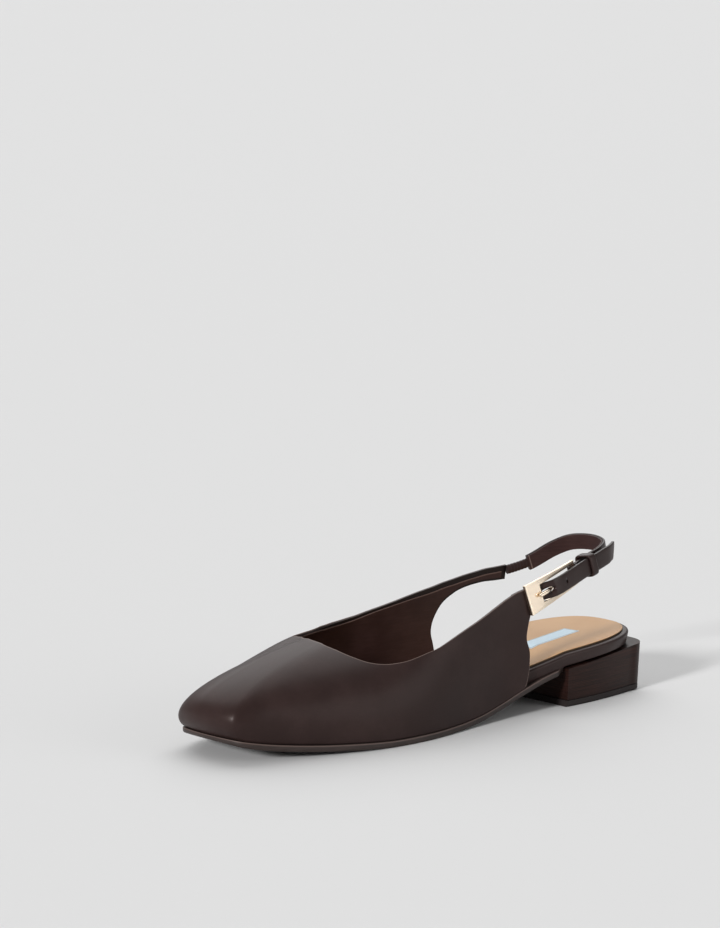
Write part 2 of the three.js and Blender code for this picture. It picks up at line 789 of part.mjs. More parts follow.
// Middle of the strap's thickness, from the fold round the bar down to inside the sling's face.
function strapMiddle(place) {
  const drop = THREE.MathUtils.smoothstep(place, strapStart, strapStart + strapDrop);
  return barOut - (barOut + strapThickness / 2) * drop;
}

function makeBuckleFrame() {
  const low = fit;
  const high = fit + frameThickness;
  const outerHalf = place => (buckleFront + (buckleRear - buckleFront) * place / buckleLength) / 2;
  const windowEnd = buckleLength - barThickness;
  const innerHalf = place => {
    const share = (place - plateDepth) / (windowEnd - plateDepth);
    return (windowFront + (windowRear - windowFront) * share) / 2;
  };
  const shares = spread(0, 1, 8);
  const rail = sign => share => {
    const outerAt = buckleLength * share;
    const innerAt = plateDepth + (windowEnd - plateDepth) * share;
    return [[outerAt, sign * outerHalf(outerAt)], [innerAt, sign * innerHalf(innerAt)]];
  };
  const rows = [...shares.map(rail(1)), ...shares.slice().reverse().map(rail(-1))];
  return facingOut(loftSolid(rows.map(([outside, inside]) => [
    slingPoint(outside[0], outside[1], low),
    slingPoint(outside[0], outside[1], high),
    slingPoint(inside[0], inside[1], high),
    slingPoint(inside[0], inside[1], low),
  ]), true));
}

function makeProng() {
  const sides = 8;
  const radius = prongThickness / 2;
  const tipOut = fit + frameThickness + fit + radius;
  const collarInner = barThickness / 2 * Math.SQRT2 + fit;
  const collarOuter = collarInner + collarWall;
  const start = barAt - (collarInner + collarOuter) / 2;
  const places = [...spread(start, prongReach + radius, 14), prongReach + radius / 2, prongReach];
  const bend = prongHoleAt - prongSlotLength / 2;
  const pin = facingOut(loftSolid(places.map((place, index) => {
    const out = tipOut + (barOut - tipOut) * THREE.MathUtils.smoothstep(place, bend, bend + prongRise);
    const size = radius * [1, 0.8, 0.35][Math.max(0, index - places.length + 3)];
    return spread(0, 1, sides).slice(0, -1).map(part => {
      const turn = 2 * Math.PI * part;
      return slingPoint(place, size * Math.cos(turn), out + size * Math.sin(turn));
    });
  })));
  const collar = crossTube(barAt, barOut, collarOuter, -collarWidth / 2, collarWidth / 2);
  const bore = crossTube(barAt, barOut, collarInner, -collarWidth, collarWidth);
  return toGeometry(toManifold(collar).add(toManifold(pin)).subtract(toManifold(bore)));
}

function makeSlingStrap() {
  const loopInner = barThickness / 2 * Math.SQRT2 + fit;
  const loopOuter = loopInner + loopWall;
  const places = spread(strapStart, slingEnd - elasticLength, 46);
  const band = strip(places, () => strapWidth, strapMiddle, strapThickness);
  const half = Math.min(strapWidth / 2 - stripChamfer, windowRear / 2 - fit);
  const room = collarWidth / 2 + fit;
  const loop = toManifold(crossTube(barAt, barOut, loopOuter, -half, half));
  const bore = toManifold(crossTube(barAt, barOut, loopInner, -strapWidth, strapWidth));
  const prongRoom = toManifold(crossTube(barAt, barOut, loopOuter + fit, -room, room));
  return toGeometry(toManifold(band).add(loop).subtract(bore).subtract(prongRoom));
}

function makeKeeper() {
  const tabOut = place => atPlace(tabRise, 1, place) + tabThickness / 2;
  const shapes = [keeperAt, keeperAt + keeperWidth].map(place => ({
    place,
    low: strapMiddle(place) - strapThickness / 2 - fit,
    high: tabOut(place) + fit,
    half: Math.max(strapWidth, tabWidth) / 2 + fit,
  }));
  const cut = keeperChamfer;
  const ring = ({ place, low, high, half }, grow) => [
    [half + grow, high - cut], [half - cut, high + grow],
    [-half + cut, high + grow], [-half - grow, high - cut],
    [-half - grow, low + cut], [-half + cut, low - grow],
    [half - cut, low - grow], [half + grow, low + cut],
  ].map(([across, out]) => slingPoint(place, across, out));
  const loops = [
    ring(shapes[0], 0), ring(shapes[0], keeperThickness),
    ring(shapes[1], keeperThickness), ring(shapes[1], 0),
  ];
  return facingOut(loftSolid(loops, true));
}

function makeElastic() {
  const start = slingEnd - elasticLength + fit;
  const end = slingEnd - 2 * fit;
  const sides = 12;
  const places = spread(start, end, 4 * elasticPleats);
  return facingOut(loftSolid(places.map((place, index) => {
    const swell = elasticPleatDepth * Math.cos(Math.PI * index / 2);
    return spread(0, 1, sides).slice(0, -1).map(share => {
      const turn = 2 * Math.PI * share;
      const across = (elasticHeight / 2 + swell) * Math.cos(turn);
      const out = -upperWall / 2 + (elasticThickness / 2 + swell) * Math.sin(turn);
      return slingPoint(place, across, out);
    });
  })));
}

// Assembly

const colours = {
  leather: new THREE.MeshStandardMaterial({ color: 0x2e2422, roughness: 0.45, metalness: 0 }),
  sole: new THREE.MeshStandardMaterial({ color: 0x241b18, roughness: 0.6, metalness: 0 }),
  heel: new THREE.MeshStandardMaterial({ color: 0x2c1a15, roughness: 0.5, metalness: 0 }),
  lift: new THREE.MeshStandardMaterial({ color: 0x171311, roughness: 0.75, metalness: 0 }),
  sock: new THREE.MeshStandardMaterial({ color: 0xb78a58, roughness: 0.6, metalness: 0 }),
  gold: new THREE.MeshStandardMaterial({ color: 0xd9b982, roughness: 0.2, metalness: 1 }),
};

const shoe = new THREE.Group();
shoe.position.x = -heelLength / 2;

function addPiece(name, geometry, material) {
  const mesh = new THREE.Mesh(facingOut(geometry), material.clone());
  mesh.name = name;
  shoe.add(mesh);
}

addPiece('outsole', makeOutsole(), colours.sole);
addPiece('heel_block', makeHeelBlock(), colours.heel);
addPiece('top_lift', makeTopLift(), colours.lift);
addPiece('footbed', makeFootbed(), colours.leather);
addPiece('sock', makeSock(), colours.sock);
addPiece('upper', makeUpper(), colours.leather);
addPiece('elastic_link', makeElastic(), colours.leather);
addPiece('sling_strap', makeSlingStrap(), colours.leather);
addPiece('keeper_loop', makeKeeper(), colours.leather);
addPiece('buckle_frame', makeBuckleFrame(), colours.gold);
addPiece('buckle_prong', makeProng(), colours.gold);

const part = new THREE.Group();
part.add(shoe);

export default part;
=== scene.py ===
"""Flat slingback shoe: the looks of its leather, lining, sole, heel and buckle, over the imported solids.

Shapes are worked out in millimetres from the back of the heel seat, x to the toe, y to the outer side
of a left foot and z up, and moved to the frame's metres as each mesh is made.
"""

import bmesh
import bpy
import numpy as np
from bpy.props import FloatProperty, FloatVectorProperty, PointerProperty
from mathutils import Matrix, Vector


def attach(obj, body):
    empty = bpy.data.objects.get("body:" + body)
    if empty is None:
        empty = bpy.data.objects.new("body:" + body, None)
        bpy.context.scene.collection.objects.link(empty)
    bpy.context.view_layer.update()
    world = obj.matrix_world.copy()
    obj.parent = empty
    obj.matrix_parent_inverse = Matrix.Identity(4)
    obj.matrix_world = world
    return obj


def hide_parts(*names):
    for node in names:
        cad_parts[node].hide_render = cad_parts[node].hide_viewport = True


bl_info = {
    "name": "Flat slingback shoe",
    "version": (1, 0, 0),
    "blender": (4, 5, 0),
    "location": "View3D > Sidebar > Shoe",
    "description": "Builds the leather, sole, heel and buckle of a flat slingback shoe on its packed solids",
    "category": "Add Mesh",
}

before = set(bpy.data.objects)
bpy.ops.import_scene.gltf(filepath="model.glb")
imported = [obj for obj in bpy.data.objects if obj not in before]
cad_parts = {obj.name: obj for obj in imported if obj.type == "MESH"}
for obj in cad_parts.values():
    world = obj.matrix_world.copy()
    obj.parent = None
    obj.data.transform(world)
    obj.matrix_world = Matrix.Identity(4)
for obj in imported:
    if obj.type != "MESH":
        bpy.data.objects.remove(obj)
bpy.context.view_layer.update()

MM = 0.001
SOLE_LENGTH = 250.0
BALL_HALF_OUTER = 41.0
BALL_HALF_INNER = 38.6
INSTEP_HEIGHT = 46.0
TOE_SPRING = 7.2
FIT = 0.3

HEEL_HEIGHT = 18.3
HEEL_RISE = 4.75
HEEL_LENGTH = 57.0
HEEL_HALF_FRONT = 31.0
HEEL_HALF_BACK = 23.0
HEEL_BULGE = 1.6
HEEL_CORNER = 9.0
HEEL_DRAW = 0.7
LIFT_THICKNESS = 3.0
LIFT_BEVEL = 0.8

SOLE_THICKNESS = 3.0
TOE_THINNING = 1.0
TOE_THIN_LENGTH = 14.0
SEAT_SOLE_THICKNESS = 0.8
SEAT_SOLE_INSET = 2.6
SOLE_BEVEL = 0.9
BREAST_GAP = 0.3
BREAST_STEP = 0.3
BREAST_X = HEEL_LENGTH + BREAST_GAP + BREAST_STEP / 2
SEAT_TAPER = 6.0

RIM_HEIGHT = 5.3
INSOLE_THICKNESS = 2.4
RIM_ROUND = 1.3
RIM_FLARE = 0.8
SOCK_THICKNESS = 0.7
SOCK_BORDER = 2.7
SOCK_SIDE_GAP = 0.6
QUARTER_SECTION = 8.0

UPPER_WALL = 1.6
WALL_BULGE = 0.03
TOE_WALL_BULGE = 0.067
TOE_BOX_BULGE = 0.048

STRAP_WIDTH = 7.6
STRAP_LEAN = 9.0
STRAP_THICKNESS = 2.2
TAB_ROOT = 6.0
TAB_ROOT_WIDTH = 11.0
TAB_WIDTH = 8.0
TAB_THICKNESS = 1.8
TAB_LENGTH = 67.0
TAB_TIP_LENGTH = 8.0
TAB_TIP_WIDTH = 7.2
TAB_TIP_SLANT = 0.8
TAB_HOLE = 1.7
TAB_HOLE_SPACING = 10.6
PLATE_DEPTH = 9.7
BUCKLE_LENGTH = 37.5
BUCKLE_FRONT = 14.6
BUCKLE_REAR = 11.6
WINDOW_FRONT = 8.5
WINDOW_REAR = 8.4
FRAME_THICKNESS = 1.8
BAR_THICKNESS = 1.8
PRONG_THICKNESS = 1.9
PRONG_REACH = 6.2
PRONG_HOLE_AT = 13.8
PRONG_RISE = 8.5
PRONG_SLOT_LENGTH = 5.6
PRONG_SLOT_WIDTH = 2.6
COLLAR_WALL = 0.8
COLLAR_WIDTH = 2.2
KEEPER_AT = 44.5
KEEPER_WIDTH = 4.3
KEEPER_THICKNESS = 1.1
ELASTIC_LENGTH = 11.0
ELASTIC_HEIGHT = 4.4
ELASTIC_THICKNESS = 3.4
ELASTIC_PLEAT_DEPTH = 0.06
ELASTIC_PLEAT_SPACING = 1.7
ELASTIC_OVERLAPS = (0.4, 0.5)
BAR_FOLD_REACH = 3.45
BAR_FOLD_THICKNESS = 1.0
STRAP_OVERLAP = 0.6
# Middle and half of the thickness of the strap's two layers, from the middle of the strap.
STRAP_OUTER_LAYER = (0.52, 0.58)
STRAP_INNER_LAYER = (-0.57, 0.53)
STRAP_INNER_TRIM = 0.15
TAB_SINK = 0.4
TAB_NARROWS_FROM = -2.0
TAB_SURFACES_FROM = 2.0
LABEL_PLACE = (27.0, 2.0)
LABEL_TURN = 6.3
LABEL_LENGTH = 35.0
LABEL_FACES = (0.15, -0.1)

# Colours of edges, of painted shade and of painted highlights, and tints of the real highlights, that no
# setting holds.
# Edge ink and painted shade of the groove, on the leather's inner face in the fold above the lining.
FOLD_INK_AND_SHADE_COLOUR = (0.011, 0.008, 0.0085)
# Painted highlight: a pale line along the lining's top edge.
LINING_EDGE_HIGHLIGHT = (0.16, 0.105, 0.09)
TAB_EDGE_COLOUR = (0.012, 0.009, 0.008)
STRAP_EDGE_COLOUR = (0.014, 0.010, 0.009)
CALF_TINT = (1.0, 0.80, 0.74, 1.0)
LINING_TINT = (1.0, 0.82, 0.78, 1.0)

# One row for each section across the shoe, from the back of the heel seat to the tip of the toe.
# along and ridge_along are shares of the sole's length, outer and inner of the ball's half-widths,
# ridge_aside of the inner half-width and crown of the instep's height. inset and ledge are mm.
SECTION_COLUMNS = ("along", "outer", "inner", "inset", "ledge",
                   "ridge_along", "ridge_aside", "crown", "round_outer", "round_inner")
SECTIONS = np.array([
    # along, outer, inner, inset, ledge, ridge_along, ridge_aside, crown, round_outer, round_inner
    (0.000, 0.000, 0.000, 0.0, 1.0, 0.000, 0.000, 1.700, 2.40, 2.40),
    (0.004, 0.232, 0.246, 0.0, 1.0, 0.004, 0.000, 1.700, 2.40, 2.40),
    (0.022, 0.444, 0.472, 0.0, 1.0, 0.022, 0.000, 1.700, 2.40, 2.40),
    (0.056, 0.605, 0.642, 0.0, 1.0, 0.056, 0.000, 1.750, 2.40, 2.40),
    (0.104, 0.702, 0.746, 0.0, 1.0, 0.104, 0.000, 1.800, 2.40, 2.40),
    (0.160, 0.737, 0.777, 0.0, 0.8, 0.160, 0.000, 1.870, 2.40, 2.40),
    (0.240, 0.739, 0.764, 0.0, 0.6, 0.240, 0.000, 2.020, 2.40, 2.40),
    (0.288, 0.737, 0.744, 0.4, 0.2, 0.288, 0.000, 2.080, 2.40, 2.40),
    (0.336, 0.744, 0.733, 2.4, 0.0, 0.336, 0.000, 2.110, 2.40, 2.40),
    (0.400, 0.763, 0.728, 2.6, 0.2, 0.400, 0.000, 2.000, 2.40, 2.40),
    (0.480, 0.844, 0.777, 2.8, 0.5, 0.480, -0.050, 1.740, 2.40, 2.40),
    (0.560, 0.946, 0.881, 3.1, 0.9, 0.560, -0.100, 1.350, 2.40, 2.40),
    (0.620, 0.995, 0.959, 3.4, 1.2, 0.605, -0.150, 1.140, 2.40, 2.40),
    (0.680, 1.000, 1.000, 3.6, 1.4, 0.600, -0.200, 1.048, 2.40, 2.40),
    (0.740, 0.966, 0.990, 3.8, 1.6, 0.590, -0.218, 1.012, 2.30, 2.39),
    (0.800, 0.893, 0.933, 3.9, 1.7, 0.588, -0.218, 1.012, 2.24, 2.32),
    (0.860, 0.800, 0.845, 4.0, 1.7, 0.588, -0.218, 1.012, 2.18, 2.05),
    (0.920, 0.680, 0.720, 4.0, 1.4, 0.588, -0.218, 1.012, 2.12, 1.79),
    (0.960, 0.580, 0.608, 4.0, 1.0, 0.588, -0.218, 1.012, 2.02, 1.64),
    (0.984, 0.470, 0.488, 4.0, 1.0, 0.588, -0.218, 1.012, 1.96, 1.64),
    (0.996, 0.248, 0.258, 4.0, 1.0, 0.588, -0.218, 1.012, 1.95, 1.82),
    (1.000, 0.000, 0.000, 4.0, 1.0, 0.588, -0.218, 1.012, 1.94, 1.94),
])
TIP = len(SECTIONS) - 1.0
TOE_ROW = 14
TOE_BOX_ROWS = 5

# Height of the sole's underside in front of the heel: share of the sole's length, share of the
# heel's height, share of the toe spring.
UNDERSIDE = np.array([
    (0.228, 0.896, 0.00), (0.280, 0.743, 0.00), (0.336, 0.525, 0.00), (0.400, 0.251, 0.00),
    (0.460, 0.087, 0.00), (0.520, 0.020, 0.00), (0.600, 0.000, 0.00), (0.680, 0.000, 0.00),
    (0.760, 0.000, 0.12), (0.832, 0.000, 0.29), (0.884, 0.000, 0.46), (0.928, 0.000, 0.64),
    (0.966, 0.000, 0.85), (1.000, 0.000, 1.08),
])

# Thickness of the footbed: share of the sole's length, and 1 for the rim's height to 0 for the insole's.
FOOTBED_RISE = np.array([
    (0.000, 1.00), (0.260, 1.08), (0.336, 1.30), (0.400, 0.75), (0.470, 0.18), (0.540, 0.00), (1.000, 0.00),
])

# One row for each line up the upper's wall: section and angle at its foot, section and angle at the topline.
OUTER_LINES = np.array([
    # foot_section, foot_angle, top_section, top_angle
    (7.72, 19.0, 7.90, 28.3), (7.86, 16.0, 8.30, 28.7), (7.96, 12.0, 8.70, 28.5),
    (7.82, 8.0, 9.05, 28.3), (7.82, 4.5, 9.35, 28.3), (7.88, 2.0, 9.60, 28.5),
    (8.03, 0.0, 9.85, 28.9), (8.50, 0.0, 10.15, 29.8), (9.00, 0.0, 10.45, 31.2),
    (9.60, 0.0, 10.75, 32.8), (10.30, 0.0, 11.10, 34.7), (11.00, 0.0, 11.50, 36.9),
    (11.70, 0.0, 12.00, 38.8), (12.50, 0.0, 12.60, 40.6), (13.20, 0.0, 13.20, 42.8),
    (14.00, 0.0, 14.00, 47.0), (15.00, 0.0, 15.00, 53.6), (16.00, 0.0, 16.00, 59.7),
    (17.00, 0.0, 17.00, 63.9), (18.00, 0.0, 18.00, 65.8), (19.00, 0.0, 19.00, 66.4),
    (20.00, 0.0, 20.00, 67.0), (21.00, 0.0, 21.00, 67.5),
])
INNER_LINES = np.array([
    # foot_section, foot_angle, top_section, top_angle
    (5.20, 23.0, 5.20, 30.0), (5.60, 22.2, 5.60, 28.3), (6.20, 21.6, 6.20, 26.6),
    (7.00, 20.9, 7.00, 25.8), (7.50, 19.8, 7.70, 25.2), (8.05, 17.8, 8.35, 25.7),
    (8.40, 14.0, 8.75, 26.7), (8.48, 10.0, 9.05, 27.6), (8.37, 6.0, 9.30, 28.4),
    (8.28, 2.5, 9.55, 29.3), (8.25, 0.0, 9.80, 30.3), (8.70, 0.0, 10.10, 31.9),
    (9.30, 0.0, 10.40, 34.4), (10.00, 0.0, 10.75, 38.1), (10.70, 0.0, 11.10, 42.3),
    (11.40, 0.0, 11.60, 47.8), (12.10, 0.0, 12.15, 53.6), (13.00, 0.0, 13.00, 60.4),
    (14.00, 0.0, 14.00, 63.9), (15.00, 0.0, 15.00, 59.4), (16.00, 0.0, 16.00, 62.4),
    (17.00, 0.0, 17.00, 64.4), (18.00, 0.0, 18.00, 64.7), (19.00, 0.0, 19.00, 65.1),
    (20.00, 0.0, 20.00, 66.3), (21.00, 0.0, 21.00, 67.5),
])

# The sling's outer face in the middle of its width, from the outer quarter round the heel to the inner
# one: shares of the sole's length, of the half-width on that side and of the instep's height.
SLING_ROUTE = np.array([
    (0.3795, 0.714, 1.091), (0.3315, 0.702, 1.156), (0.2755, 0.664, 1.234), (0.2260, 0.603, 1.296),
    (0.176, 0.530, 1.357), (0.128, 0.480, 1.409), (0.0855, 0.404, 1.452), (0.0565, 0.270, 1.485),
    (0.0450, 0.000, 1.500), (0.0565, -0.297, 1.478), (0.0835, -0.463, 1.406), (0.128, -0.596, 1.275),
    (0.172, -0.682, 1.214),
])
PLATE_ROW = 1

# Middle of the tab's thickness: mm behind the buckle plate's front edge, mm outside the sling's face.
TAB_RISE = np.array([
    (-6.0, -0.9), (9.5, -0.9), (11.2, -0.2), (13.8, 2.4), (16.6, 4.1), (22.0, 4.7), (40.0, 4.8),
    (60.0, 4.0), (67.0, 3.7),
])


# Curves through tables


def smoothstep(value, low, high):
    """Rises from 0 at low to 1 at high as 3s^2 - 2s^3."""
    share = np.clip((np.asarray(value, float) - low) / (high - low), 0, 1)
    return share * share * (3 - 2 * share)


def hermite(part, start, end, slope_start, slope_end):
    """Cubic between two values with a slope at each end, for a part from 0 to 1."""
    square, cube = part ** 2, part ** 3
    return ((2 * cube - 3 * square + 1) * start + (cube - 2 * square + part) * slope_start
            + (3 * square - 2 * cube) * end + (cube - square) * slope_end)


def at_row(values, row, mirror=False):
    """Catmull-Rom cubic through a column at row numbers. mirror turns its sign past the last row."""
    last = len(values) - 1
    padded = np.concatenate(([2 * values[0] - values[1]], values, [(-1 if mirror else 1) * values[last - 1]]))
    at = np.clip(np.asarray(row, float), 0, last)
    first = np.minimum(np.floor(at).astype(int), last - 1)
    before, start, end, after = (padded[first + step] for step in range(4))
    return hermite(at - first, start, end, (end - before) / 2, (after - start) / 2)


def at_place(table, column, place):
    """Cubic that never overshoots, through a column against the table's first column."""
    places, values = table[:, 0], table[:, column]
    widths = np.diff(places)
    slopes = np.diff(values) / widths
    before, after = slopes[:-1], slopes[1:]
    together = before + after
    inner = np.where(before * after > 0, 2 * before * after / np.where(together == 0, 1, together), 0)
    tangents = np.concatenate(([slopes[0]], inner, [slopes[-1]]))
    at = np.clip(np.asarray(place, float), places[0], places[-1])
    first = np.clip(np.searchsorted(places, at, side="right") - 1, 0, len(widths) - 1)
    width = widths[first]
    return hermite((at - places[first]) / width, values[first], values[first + 1],
                   width * tangents[first], width * tangents[first + 1])


def section_value(name, section, mirror=False):
    """A named column of the sections at a section number."""
    return at_row(SECTIONS[:, SECTION_COLUMNS.index(name)], section, mirror)


def section_at(distance):
    """Section number at a distance from the heel seat's back, by halving the range again and again."""
    low, high = 0.0, TIP
    halvings = 40
    for _ in range(halvings):
        middle = (low + high) / 2
        if section_value("along", middle) * SOLE_LENGTH < distance:
            low = middle
        else:
            high = middle
    return (low + high) / 2


# Heights and outlines


def heel_top(x):
    return HEEL_HEIGHT + HEEL_RISE * (1 - np.asarray(x) / HEEL_LENGTH)


def toe_paring(x):
    """How far the underside rises at the tip of the toe: the square of the share of the pared length."""
    return TOE_THINNING * np.maximum(1 - (SOLE_LENGTH - np.asarray(x)) / TOE_THIN_LENGTH, 0) ** 2


def sole_bottom(x):
    along = np.asarray(x) / SOLE_LENGTH
    front = HEEL_HEIGHT * at_place(UNDERSIDE, 1, along) + TOE_SPRING * at_place(UNDERSIDE, 2, along)
    return np.where(x < BREAST_X, heel_top(x) + FIT, front + toe_paring(x))


def sole_top(x):
    front = sole_bottom(x) - toe_paring(x) + SOLE_THICKNESS
    return np.where(x < BREAST_X, heel_top(x) + FIT + SEAT_SOLE_THICKNESS, front)


def footbed_bottom(x):
    return sole_top(x) + FIT


def footbed_top(x):
    share = at_place(FOOTBED_RISE, 1, np.asarray(x) / SOLE_LENGTH)
    return footbed_bottom(x) + INSOLE_THICKNESS + (RIM_HEIGHT - INSOLE_THICKNESS) * share


def sock_top(x):
    return footbed_top(x) + FIT + SOCK_THICKNESS


def edge_point(section, side, inset):
    """Point of the sole's edge at a section, moved inwards square to the edge: arrays of x and y."""
    name, half = ("outer", BALL_HALF_OUTER) if side > 0 else ("inner", BALL_HALF_INNER)
    step = 0.001

    def place(at):
        return section_value("along", at) * SOLE_LENGTH, side * half * section_value(name, at, mirror=True)

    section = np.asarray(section, float)
    x, y = place(section)
    x_before, y_before = place(np.clip(section - step, 0, TIP))
    x_after, y_after = place(np.clip(section + step, 0, TIP))
    length = np.hypot(x_after - x_before, y_after - y_before)
    along_x, along_y = (x_after - x_before) / length, (y_after - y_before) / length
    ends = (section <= 0) | (section >= TIP)
    at_side = x + along_y * side * inset
    edge_x = np.where(section <= 0, x + inset, np.where(section >= TIP, x - inset, at_side))
    return edge_x, np.where(ends, 0.0, y - along_x * side * inset)


def last_point(section, angle, side):
    """Point of the upper's outer face. With the angle a from 0 at the wall's foot to 90 on the ridge,
    it lies cos(a)^(2/n) + bulge sin(2a) + box sin(4a) of the way from the ridge to the foot in plan,
    and sin(a)^(2/n) of the way up from the sole to the crown."""
    section, angle = np.broadcast_arrays(np.asarray(section, float), np.asarray(angle, float))
    foot_x, foot_y = edge_point(section, side, section_value("ledge", section))
    roundness = section_value("round_outer" if side > 0 else "round_inner", section)
    turn = np.radians(angle)
    toe = np.clip((section - TOE_ROW) / TOE_BOX_ROWS, 0, 1)
    bulge = WALL_BULGE + (TOE_WALL_BULGE - WALL_BULGE) * toe
    reach = (np.cos(turn) ** (2 / roundness) + bulge * np.sin(2 * turn)
             + TOE_BOX_BULGE * toe * np.sin(4 * turn))
    rise = np.sin(turn) ** (2 / roundness)
    ridge_x = section_value("ridge_along", section) * SOLE_LENGTH
    ridge_y = section_value("ridge_aside", section) * BALL_HALF_INNER
    base = sole_top(np.clip(foot_x, 0, SOLE_LENGTH)) + FIT
    crown = section_value("crown", section) * INSTEP_HEIGHT
    return np.stack([ridge_x + (foot_x - ridge_x) * reach, ridge_y + (foot_y - ridge_y) * reach,
                     base + (crown - base) * rise], axis=-1)


def unit(vectors):
    return vectors / np.maximum(np.linalg.norm(vectors, axis=-1, keepdims=True), 1e-12)


def last_normal(section, angle, side):
    """Direction out of the upper's outer face, from differences along and up it."""
    section, angle = np.broadcast_arrays(np.asarray(section, float), np.asarray(angle, float))
    row_step, angle_step = 0.02, 0.5
    along = (last_point(np.minimum(section + row_step, TIP), angle, side)
             - last_point(section - row_step, angle, side))
    up = (last_point(section, angle + angle_step, side)
          - last_point(section, np.maximum(angle - angle_step, 0), side))
    return unit(np.cross(up, along) * side)


# The sling's route

ROUTE_STEPS = 40
ROUTE_ROWS = np.linspace(0, len(SLING_ROUTE) - 1, ROUTE_STEPS * (len(SLING_ROUTE) - 1) + 1)
ROUTE_PLACES = np.stack([
    SLING_ROUTE[:, 0] * SOLE_LENGTH,
    SLING_ROUTE[:, 1] * np.where(SLING_ROUTE[:, 1] < 0, BALL_HALF_INNER, BALL_HALF_OUTER),
    SLING_ROUTE[:, 2] * INSTEP_HEIGHT,
], axis=-1)
ROUTE_POINTS = np.stack([at_row(ROUTE_PLACES[:, axis], ROUTE_ROWS) for axis in range(3)], axis=-1)
ROUTE_RUN = np.concatenate(([0], np.cumsum(np.linalg.norm(np.diff(ROUTE_POINTS, axis=0), axis=-1))))
PLATE_RUN = ROUTE_RUN[ROUTE_STEPS * PLATE_ROW]
SLING_END = ROUTE_RUN[-1] - PLATE_RUN


def route_tangents():
    """Direction of the route at each of its points, over five points to each side."""
    index = np.arange(len(ROUTE_POINTS))
    reach = 5
    before = ROUTE_POINTS[np.maximum(index - reach, 0)]
    after = ROUTE_POINTS[np.minimum(index + reach, len(ROUTE_POINTS) - 1)]
    return unit(after - before)


ROUTE_TANGENTS = route_tangents()


def at_run(values, run):
    """Points or directions of the route at distances along it."""
    return np.stack([np.interp(run, ROUTE_RUN, values[:, axis]) for axis in range(3)], axis=-1)


def sling_frame(distance):
    """Place and directions at distances behind the buckle plate's front edge: origin, tangent, up
    across the strap and out of its face, leaned outwards by STRAP_LEAN degrees."""
    distance = np.asarray(distance, float)
    run = np.clip(distance + PLATE_RUN, 0, ROUTE_RUN[-1])
    tangent = unit(at_run(ROUTE_TANGENTS, run))
    origin = at_run(ROUTE_POINTS, run) + tangent * (distance + PLATE_RUN - run)[..., None]
    out = unit(np.stack([tangent[..., 1], -tangent[..., 0], np.zeros_like(run)], axis=-1))
    up = unit(np.cross(out, tangent))
    up = np.where(up[..., 2:] > 0, up, -up)
    lean = np.radians(STRAP_LEAN)
    return origin, tangent, up * np.cos(lean) - out * np.sin(lean), out * np.cos(lean) + up * np.sin(lean)


def sling_point(distance, across, out):
    """Point from its distance along the sling, height across it and distance outside its face."""
    distance, across, out = np.broadcast_arrays(
        *(np.asarray(values, float) for values in (distance, across, out)))
    origin, _, upward, outward = sling_frame(distance)
    return origin + upward * across[..., None] + outward * out[..., None]


BAR_AT = BUCKLE_LENGTH - BAR_THICKNESS / 2
BAR_OUT = FIT + FRAME_THICKNESS / 2
BAR_CORNER = BAR_THICKNESS / 2 * np.sqrt(2)
STRAP_START = BUCKLE_LENGTH + 0.7
STRAP_DROP = 14.0


def strap_middle(place):
    """Middle of the strap's thickness, from the fold round the bar down to inside the sling's face."""
    drop = smoothstep(place, STRAP_START, STRAP_START + STRAP_DROP)
    return BAR_OUT - (BAR_OUT + STRAP_THICKNESS / 2) * drop


# Meshes from grids

WELD = 0.002
END_SHARES = (0.0, 0.5, 0.85)


def patch(points, wrap_rows=False, wrap_columns=False, **values):
    """A grid of points, rows by columns, with named values for its points, such as the edge's share."""
    return {"points": np.asarray(points, float), "wrap": (wrap_rows, wrap_columns), "values": values}


def grid_quads(rows, columns, wrap_rows, wrap_columns):
    """Corner numbers of the quads of a grid: (row, column) to (row + 1, column + 1)."""
    row, column = np.meshgrid(np.arange(rows - (not wrap_rows)), np.arange(columns - (not wrap_columns)),
                              indexing="ij")
    next_row, next_column = (row + 1) % rows, (column + 1) % columns
    corners = (row * columns + column, row * columns + next_column,
               next_row * columns + next_column, next_row * columns + column)
    return np.stack(corners, axis=-1).reshape(-1, 4)


def mesh_object(name, patches, sharp=40.0):
    """One mesh from patches: points that meet within WELD mm become one, faces point outwards and
    edges sharper than the given angle stay sharp."""
    points, quads, first = [], [], 0
    names = sorted({key for each in patches for key in each["values"]})
    values = {key: [] for key in names}
    for each in patches:
        rows, columns = each["points"].shape[:2]
        points.append(each["points"].reshape(-1, 3))
        quads.append(first + grid_quads(rows, columns, *each["wrap"]))
        for key in names:
            value = np.broadcast_to(each["values"].get(key, 0.0), (rows, columns))
            values[key].append(value.reshape(-1))
        first += rows * columns
    points = (np.concatenate(points) - (HEEL_LENGTH / 2, 0, 0)) * MM
    quads = np.concatenate(quads)
    mesh = bpy.data.meshes.new(name)
    mesh.from_pydata(points, [], quads)
    for key in names:
        attribute = mesh.attributes.new(key, "FLOAT", "POINT")
        attribute.data.foreach_set("value", np.concatenate(values[key]).astype(np.float32))
    work = bmesh.new()
    work.from_mesh(mesh)
    bmesh.ops.remove_doubles(work, verts=work.verts, dist=WELD * MM)
    bmesh.ops.dissolve_degenerate(work, edges=work.edges, dist=WELD * MM)
    bmesh.ops.recalc_face_normals(work, faces=work.faces)
    work.to_mesh(mesh)
    work.free()
    mesh.shade_smooth()
    mesh.set_sharp_from_angle(angle=np.radians(sharp))
    thing = bpy.data.objects.new(name, mesh)
    bpy.context.scene.collection.objects.link(thing)
    return thing


